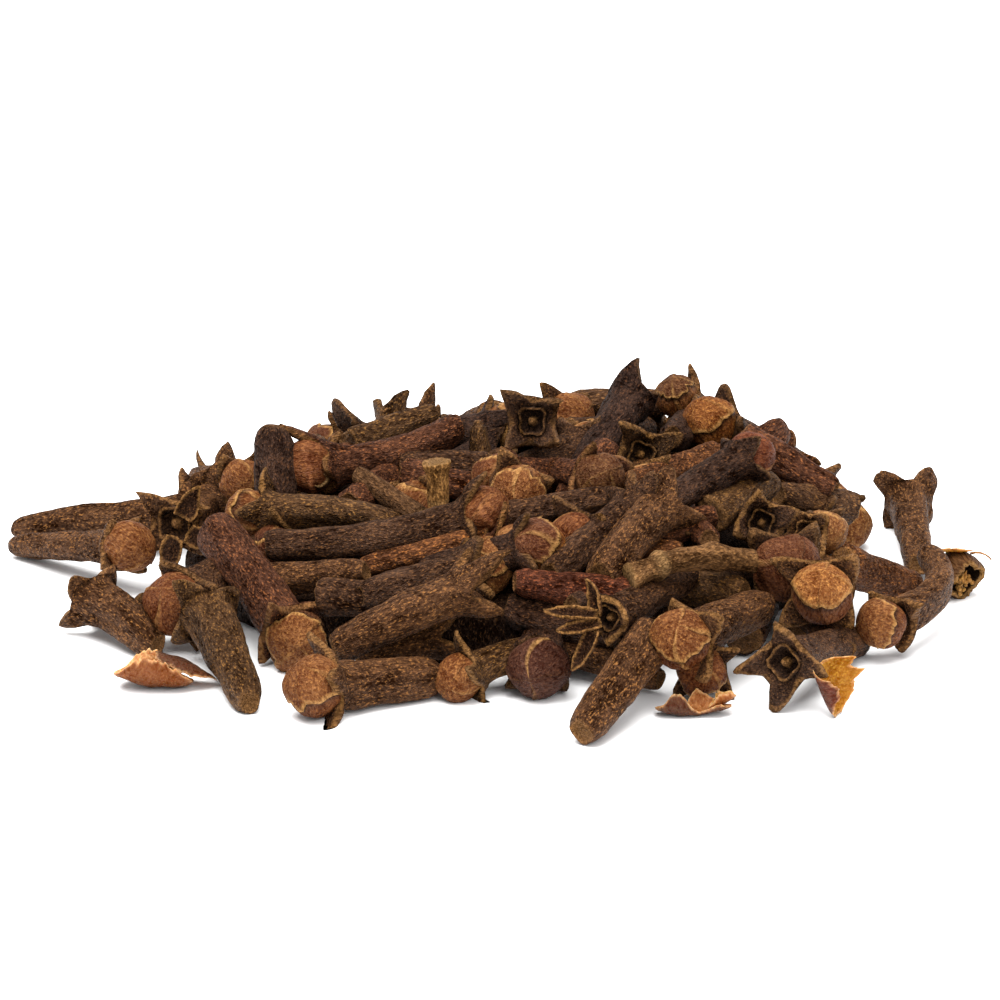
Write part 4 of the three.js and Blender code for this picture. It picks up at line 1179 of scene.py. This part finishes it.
def add_cup(batch, number):
    """A bud broken open: stiff petals round a hollow, with a ragged mouth."""
    columns, outer, inner = 72, 24, 14
    turn = turns(columns)
    mouth = math.radians(CUP_MOUTH) * (
        1 + 0.5 * around_circle(turn, 1.1, number) + 0.25 * around_circle(turn, 5.0, number + 1)
    )
    rows, masks, tints = [], [], []
    streaks = around_circle(turn, 9.0, number + 2)
    for index in range(outer + inner):
        inside = index >= outer
        if inside:
            polar = mouth + (CUP_BOTTOM[1] - mouth) * (index - outer) / (inner - 1)
        else:
            polar = CUP_BOTTOM[0] + (mouth - CUP_BOTTOM[0]) * index / (outer - 1)
        size = CUP_SIZE * (CUP_WALL if inside else 1 + 0.05 * streaks)
        size = size * (1 + 0.07 * np.cos(4 * turn + 0.6))
        rows.append(ring_points(size * np.sin(polar), turn, size * np.cos(polar) * 1.02))
        rim = 0.8 if index in (outer - 1, outer) else 0.35 if index == outer - 2 else 0.12
        # Past the mouth the inner wall gets painted shade in the hollow, over its far darker tint.
        masks.append(masks_of(columns, crest=0.5, rim=rim, painted_shade=0.75 if index > outer else 0.0))
        tints.append(np.tile(CUP_INNER_TINT if inside else CUP_TINT, (columns, 1)))
    local = np.array(rows)
    shaped = local * (1 + 0.05 * perlin(local * 1.1 + number))[..., None]
    shaped += 0.16 * crumple(local + number, 0.5) + 0.08 * crumple(local, 1.6)
    ends = np.stack([shaped[0].mean(axis=0), shaped[-1].mean(axis=0)])
    every = with_ends(shaped, ends) @ axes_along(CUP_AXIS) + CUP_PLACE
    masks = with_ends(np.array(masks), [(0.5, 0, 0, 0), (0.4, 0, 0, 0.9)])
    tints = with_ends(np.array(tints), [CUP_TINT, CUP_INNER_TINT])
    grain = with_ends(local * (1.6, 1.6, 0.5), ends)
    batch.add(every, tube(len(local), columns), grain, masks, tints, 1)


STRAND_ASIDE = (0.21, 0.33, 0.92)   # a direction that no strand runs in
STRAND_COLUMNS = 10


def add_strand(batch, path, radii, number, tint):
    """A tube along a line of points, closed at both ends."""
    path = np.array(path, float)
    turn = turns(STRAND_COLUMNS)[:, None]
    rows = []
    for index, (place, radius) in enumerate(zip(path, radii)):
        heading = path[min(index + 1, len(path) - 1)] - path[max(index - 1, 0)]
        first, second, _ = axes_along(heading, STRAND_ASIDE)
        rows.append(place + radius * (np.sin(turn) * first + np.cos(turn) * second))
    every = with_ends(np.array(rows), path[[0, -1]])
    masks = masks_of(len(every), crest=0.7, rim=0.3)
    batch.add(every, tube(len(path), STRAND_COLUMNS), every + number, masks, tint, 1)


STAMENS = 26
STAMEN_TINT = (1.8, 2.3, 1.5)
STAMEN_SHIFT = (-0.3, 0, -0.12)
STAMEN_SHARES = np.array([-2.4, -1.6, 0.2, 0.9, 1.7, 2.1])      # along a stamen, in its sizes
STAMEN_WIDTHS = np.array([0.4, 0.5, 0.9, 1.25, 1.1, 0.5])
FILAMENT = (
    (34.9, -6.3, 3.42), (35.3, -6.3, 3.5), (35.7, -6.35, 3.48), (36.05, -6.4, 3.36),
    (36.35, -6.45, 3.15), (36.5, -6.5, 2.95),
)
FILAMENT_RADII = (0.1, 0.09, 0.075, 0.07, 0.07, 0.05)
FILAMENT_TINT = (2.0, 2.2, 1.8)
FILAMENT_NUMBER = 3


def add_broken_head(batch):
    """A broken bud with its stamens showing, a loose petal on top and one long filament."""
    dice = np.random.default_rng(DICE_BASE + BROKEN_NUMBER)
    add_cup(batch, BROKEN_NUMBER)
    first, second, axis = axes_along(CUP_AXIS)
    for index in range(STAMENS):
        away = 0.44 * CUP_SIZE * math.sqrt(dice.random())
        turn = 2 * math.pi * dice.random()
        depth = CUP_SIZE * (0.3 + 0.35 * dice.random())
        aside = away * (math.sin(turn) * first + math.cos(turn) * second)
        middle = CUP_PLACE + axis * depth + aside + STAMEN_SHIFT
        lean = unit(axis + 0.9 * spread_draws(dice, 3))
        size = 0.11 + 0.05 * dice.random()
        path = middle + STAMEN_SHARES[:, None] * size * lean
        tint = np.array(STAMEN_TINT) * (0.65 + 0.5 * dice.random())
        add_strand(batch, path, STAMEN_WIDTHS * size, BROKEN_NUMBER + index, tint)
    for sheet in SHEETS["broken_head"]:
        add_sheet(batch, sheet, LOOSE_PETAL_NUMBER, material=2)
    add_strand(batch, FILAMENT, FILAMENT_RADII, FILAMENT_NUMBER, FILAMENT_TINT)


# ---- materials ----

class Nodes:
    """A new material's nodes. Most methods add a node and give its output."""

    def __init__(self, name):
        self.material = bpy.data.materials.new(name)
        self.material.use_nodes = True
        self.tree = self.material.node_tree
        self.shader = self.tree.nodes["Principled BSDF"]

    def new(self, kind):
        return self.tree.nodes.new("ShaderNode" + kind)

    def feed(self, node, inputs):
        """Sets inputs to numbers or colours, or links them to the outputs of other nodes."""
        for key, value in inputs.items():
            socket = node.inputs[key]
            if isinstance(value, bpy.types.NodeSocket):
                self.tree.links.new(value, socket)
            elif socket.type == "RGBA":
                socket.default_value = (*value, 1)
            else:
                socket.default_value = value
        return node.outputs[0]

    def attribute(self, name):
        node = self.new("Attribute")
        node.attribute_type = "GEOMETRY"
        node.attribute_name = name
        return node

    def noise(self, grain, scale, detail, roughness, stretch):
        """Noise on the clove's own millimetres, stretched along it."""
        shape = self.new("VectorMath")
        shape.operation = "MULTIPLY"
        place = self.feed(shape, {0: grain, 1: (1, 1, stretch)})
        inputs = {"Vector": place, "Scale": scale, "Detail": detail, "Roughness": roughness}
        return self.feed(self.new("TexNoise"), inputs)

    def math(self, operation, first, second=0.0):
        node = self.new("Math")
        node.operation = operation
        return self.feed(node, {0: first, 1: second})

    def product(self, first, second):
        return self.math("MULTIPLY", first, second)

    def weighted(self, parts):
        """The sum of (value, weight) pairs."""
        total = 0.0
        for value, weight in parts:
            total = self.math("ADD", self.product(value, weight), total)
        return total

    def mix(self, factor, first, second, blend="MIX"):
        node = self.new("Mix")
        node.data_type = "RGBA"
        node.blend_type = blend
        self.feed(node, {0: factor, 6: first, 7: second})
        return node.outputs[2]

    def ramp(self, value, stops):
        node = self.new("ValToRGB")
        elements = node.color_ramp.elements
        while len(elements) < len(stops):
            elements.new(0.5)
        for element, (place, colour) in zip(elements, stops):
            element.position = place
            element.color = (*colour, 1)
        return self.feed(node, {0: value})

    def within(self, value, low, high, out_low=0.0, out_high=1.0):
        """The value's place between low and high, laid out between two others."""
        inputs = {"Value": value, "From Min": low, "From Max": high, "To Min": out_low, "To Max": out_high}
        return self.feed(self.new("MapRange"), inputs)


# The colour of painted shade.
PAINTED_SHADE_BLACK = (0.006, 0.003, 0.002)


def dry_material(name, stops, fleck, rim_colour, scar_colour, shine, scales, bump):
    """A dry plant skin: patches, fine crinkles and flecks, light rims and scars, painted shade in hollows
    and gaps, and a tone partly painted lighter on crests and darker in valleys.
    """
    nodes = Nodes(name)
    grain = nodes.attribute("grain").outputs["Vector"]
    mask = nodes.attribute("mask").outputs
    tint = nodes.attribute("tint").outputs["Color"]
    parts = nodes.new("SeparateColor")
    nodes.feed(parts, {0: mask["Color"]})
    crest, rim, scar = parts.outputs[:3]
    patches = nodes.noise(grain, scales[0], 4, 0.6, 0.45)
    crinkle = nodes.noise(grain, scales[1], 2, 0.5, 0.55)
    grains = nodes.noise(grain, scales[2], 2, 0.5, 0.5)
    distance = nodes.math("ABSOLUTE", nodes.math("SUBTRACT", crinkle, 0.5))
    ridges = nodes.within(distance, 0.0, 0.1, 1.0, 0.0)

    # The tone follows the crest mask and the bump's crinkles: partly the skin's own mottling, partly painted
    # light on crests and painted shade in valleys.
    tone = nodes.weighted(((patches, 0.24), (crest, 0.24), (crinkle, 0.28), (grains, 0.24)))
    flecks = nodes.product(nodes.within(grains, 0.55, 0.66, 0.0, 0.8), nodes.within(crinkle, 0.42, 0.56))
    worn = nodes.product(rim, nodes.within(crinkle, 0.36, 0.56, 0.35, 1.0))
    speckled = nodes.product(scar, nodes.within(grains, 0.38, 0.6, 0.35, 1.0))
    colour = nodes.mix(flecks, nodes.ramp(tone, stops), fleck)
    colour = nodes.mix(1.0, colour, tint, "MULTIPLY")
    colour = nodes.mix(worn, colour, rim_colour)
    colour = nodes.mix(speckled, colour, scar_colour)
    # Painted shade: the last mask darkens the colour towards black.
    colour = nodes.mix(nodes.product(mask["Alpha"], 0.8), colour, PAINTED_SHADE_BLACK)

    height = nodes.weighted(((ridges, 0.25), (crinkle, 0.8), (grains, 0.6)))
    relief = nodes.feed(nodes.new("Bump"), {"Strength": 1.0, "Distance": bump * MM, "Height": height})
    nodes.feed(nodes.shader, {
        "Base Color": colour,
        "Roughness": nodes.within(ridges, 0.0, 1.0, 0.75, 0.5),
        "Specular IOR Level": nodes.within(tone, 0.4, 0.62, 0.0, shine),
        "Normal": relief,
    })
    return nodes.material


SKIN = dry_material(
    "clove_skin",
    stops=(
        (0.38, (0.0095, 0.0034, 0.0013)),
        (0.47, (0.031, 0.0113, 0.0031)),
        (0.55, (0.068, 0.0252, 0.0062)),
        (0.66, (0.145, 0.056, 0.0122)),
    ),
    fleck=(0.26, 0.106, 0.022), rim_colour=(0.27, 0.128, 0.036), scar_colour=(0.25, 0.118, 0.038),
    shine=0.26, scales=(0.55, 5.0, 9.0), bump=0.3,
)
CAP = dry_material(
    "petal_cap",
    stops=(
        (0.38, (0.036, 0.0088, 0.0019)),
        (0.47, (0.078, 0.0215, 0.0042)),
        (0.55, (0.13, 0.0425, 0.0075)),
        (0.65, (0.235, 0.09, 0.0175)),
    ),
    fleck=(0.24, 0.095, 0.018), rim_colour=(0.36, 0.185, 0.055), scar_colour=(0.26, 0.12, 0.04),
    shine=0.3, scales=(0.45, 4.6, 8.5), bump=0.2,
)
FLAKE = dry_material(
    "petal_flake",
    stops=(
        (0.33, (0.12, 0.032, 0.007)),
        (0.44, (0.2, 0.06, 0.014)),
        (0.54, (0.28, 0.1, 0.024)),
        (0.66, (0.4, 0.17, 0.045)),
    ),
    fleck=(0.36, 0.16, 0.045), rim_colour=(0.5, 0.29, 0.13), scar_colour=(0.4, 0.2, 0.08),
    shine=0.35, scales=(0.5, 3.4, 8.0), bump=0.1,
)
WOOD = dry_material(
    "bare_wood",
    stops=(
        (0.38, (0.016, 0.0072, 0.0024)),
        (0.47, (0.052, 0.0245, 0.0076)),
        (0.55, (0.115, 0.056, 0.0175)),
        (0.64, (0.23, 0.118, 0.038)),
    ),
    fleck=(0.23, 0.115, 0.034), rim_colour=(0.27, 0.148, 0.052), scar_colour=(0.3, 0.175, 0.07),
    shine=0.2, scales=(0.6, 5.0, 9.0), bump=0.22,
)
flake_inputs = FLAKE.node_tree.nodes["Principled BSDF"].inputs
flake_inputs["Subsurface Weight"].default_value = 0.35
flake_inputs["Subsurface Radius"].default_value = (1.0, 0.4, 0.15)
flake_inputs["Subsurface Scale"].default_value = 0.6 * MM

# ---- building ----

placed = [Clove(row, number, TRAITS.get(name)) for number, (name, row) in enumerate(PLACED.items())]
apart = Clove(APART, APART_NUMBER, APART_TRAITS)
broken = Clove(BROKEN, BROKEN_NUMBER)
apart.clearance = LOOSE_GAP
broken.clearance = LOOSE_GAP
fill = scatter(FILL, [*placed, apart, broken], on_the_back)
back = scatter(BACK, [*placed, *fill, apart, broken], on_the_back)
under = scatter(UNDER, [], over_the_core)
low = [Clove(row, LOW_NUMBER + number) for number, row in enumerate(LOW_STEMS)]

whole = Batch("whole_cloves", "clove", [SKIN, CAP])
open_ones = Batch("open_cloves", "clove", [SKIN])
stems = Batch("stems", "clove", [SKIN, CAP, WOOD])
twigs = Batch("twigs", "clove", [SKIN, CAP, WOOD])
deep = Batch("under_layer", "clove", [SKIN, CAP])
heart = Batch("core", "clove", [SKIN])
by_kind = {"bud": whole, "star": open_ones, "stem": stems}
for clove in placed:
    if clove.kind == "twig":
        add_twig(twigs, clove)
    else:
        add_clove(by_kind[clove.kind], clove, FINE)
for clove in [*fill, *back, *low]:
    add_clove(by_kind[clove.kind], clove, MIDDLING)
for clove in under:
    add_clove(deep, clove, PLAIN)
add_core(heart)
for batch in (whole, open_ones, stems, twigs, deep, heart):
    batch.finish()
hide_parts("clove_heap")

lone = Batch("clove_apart_detail", "clove", [SKIN, CAP])
add_clove(lone, apart, FINE)
lone.finish()
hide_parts("clove_apart")

boats = Batch("boat_sepals", "clove", [SKIN])
for number, sheet in enumerate(BOATS):
    sheet = (*sheet, *BOAT_COLOURS, False)
    seed = BOAT_NUMBER + BOAT_STEP * number
    add_sheet(boats, sheet, seed, 0, BOAT_RINGS, BOAT_COLUMNS, BOAT_THICKNESS)
boats.finish()

cracked = Batch("broken_head_detail", "clove", [SKIN, CAP, FLAKE])
add_broken_head(cracked)
cracked.finish()
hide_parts("broken_head")

for name, first_number in FLAKE_NUMBERS.items():
    flake = Batch(name + "_detail", "petal", [FLAKE])
    for number, sheet in enumerate(SHEETS[name]):
        add_sheet(flake, sheet, first_number + SHEET_STEP * number)
    flake.finish()
    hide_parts(name)

# ---- floor, light and camera ----

FLOOR_SIZE = 1.6
FLOOR_LOOK = {"Base Color": (0.93, 0.93, 0.94), "Roughness": 0.7, "Specular IOR Level": 0.2}
half = FLOOR_SIZE / 2
mesh = bpy.data.meshes.new("floor")
corners = [(-half, -half, 0), (half, -half, 0), (half, half, 0), (-half, half, 0)]
mesh.from_pydata(corners, [], [(0, 1, 2, 3)])
floor = bpy.data.objects.new("floor", mesh)
bpy.context.scene.collection.objects.link(floor)
surface = Nodes("floor")
surface.feed(surface.shader, FLOOR_LOOK)
mesh.materials.append(surface.material)

# name, place, the point it shines at, size, power, colour
LIGHTS = (
    ("overhead", (-0.1, -0.12, 0.8), (0, 0, 0), 0.9, 19.0, (1.0, 0.99, 0.97)),
    ("front_fill", (0.25, -0.7, 0.55), (0, 0, 0.005), 0.5, 3.6, (1.0, 0.99, 0.98)),
)
SKY_STRENGTH = 0.75


def area_light(name, place, aim, size, power, colour):
    data = bpy.data.lights.new(name, "AREA")
    data.shape = "DISK"
    data.size = size
    data.energy = power
    data.color = colour
    lamp = bpy.data.objects.new(name, data)
    lamp.location = place
    direction = np.array(aim, float) - np.array(place, float)
    flat = math.hypot(direction[0], direction[1])
    lamp.rotation_euler = (math.atan2(flat, -direction[2]), 0, math.atan2(-direction[0], direction[1]))
    bpy.context.scene.collection.objects.link(lamp)


for light in LIGHTS:
    area_light(*light)

world = bpy.data.worlds.new("studio")
world.use_nodes = True
background = world.node_tree.nodes["Background"]
background.inputs["Color"].default_value = (1, 1, 1, 1)
background.inputs["Strength"].default_value = SKY_STRENGTH
bpy.context.scene.world = world
bpy.context.scene.view_settings.view_transform = "Standard"

CAMERA_PLACE = (0, -315.8, 108.16)
CAMERA_PITCH = 18.0         # degrees down
FRAME_PIXELS = 1000
FOCAL_PIXELS = 4400         # focal length in pixels of the frame
SENSOR = 36.0
camera_data = bpy.data.cameras.new("camera")
camera_data.sensor_width = SENSOR
camera_data.lens = SENSOR * FOCAL_PIXELS / FRAME_PIXELS
camera_data.clip_start = 0.01
camera = bpy.data.objects.new("camera", camera_data)
camera.location = [value * MM for value in CAMERA_PLACE]
camera.rotation_euler = (math.radians(90 - CAMERA_PITCH), 0, 0)
bpy.context.scene.collection.objects.link(camera)
bpy.context.scene.camera = camera
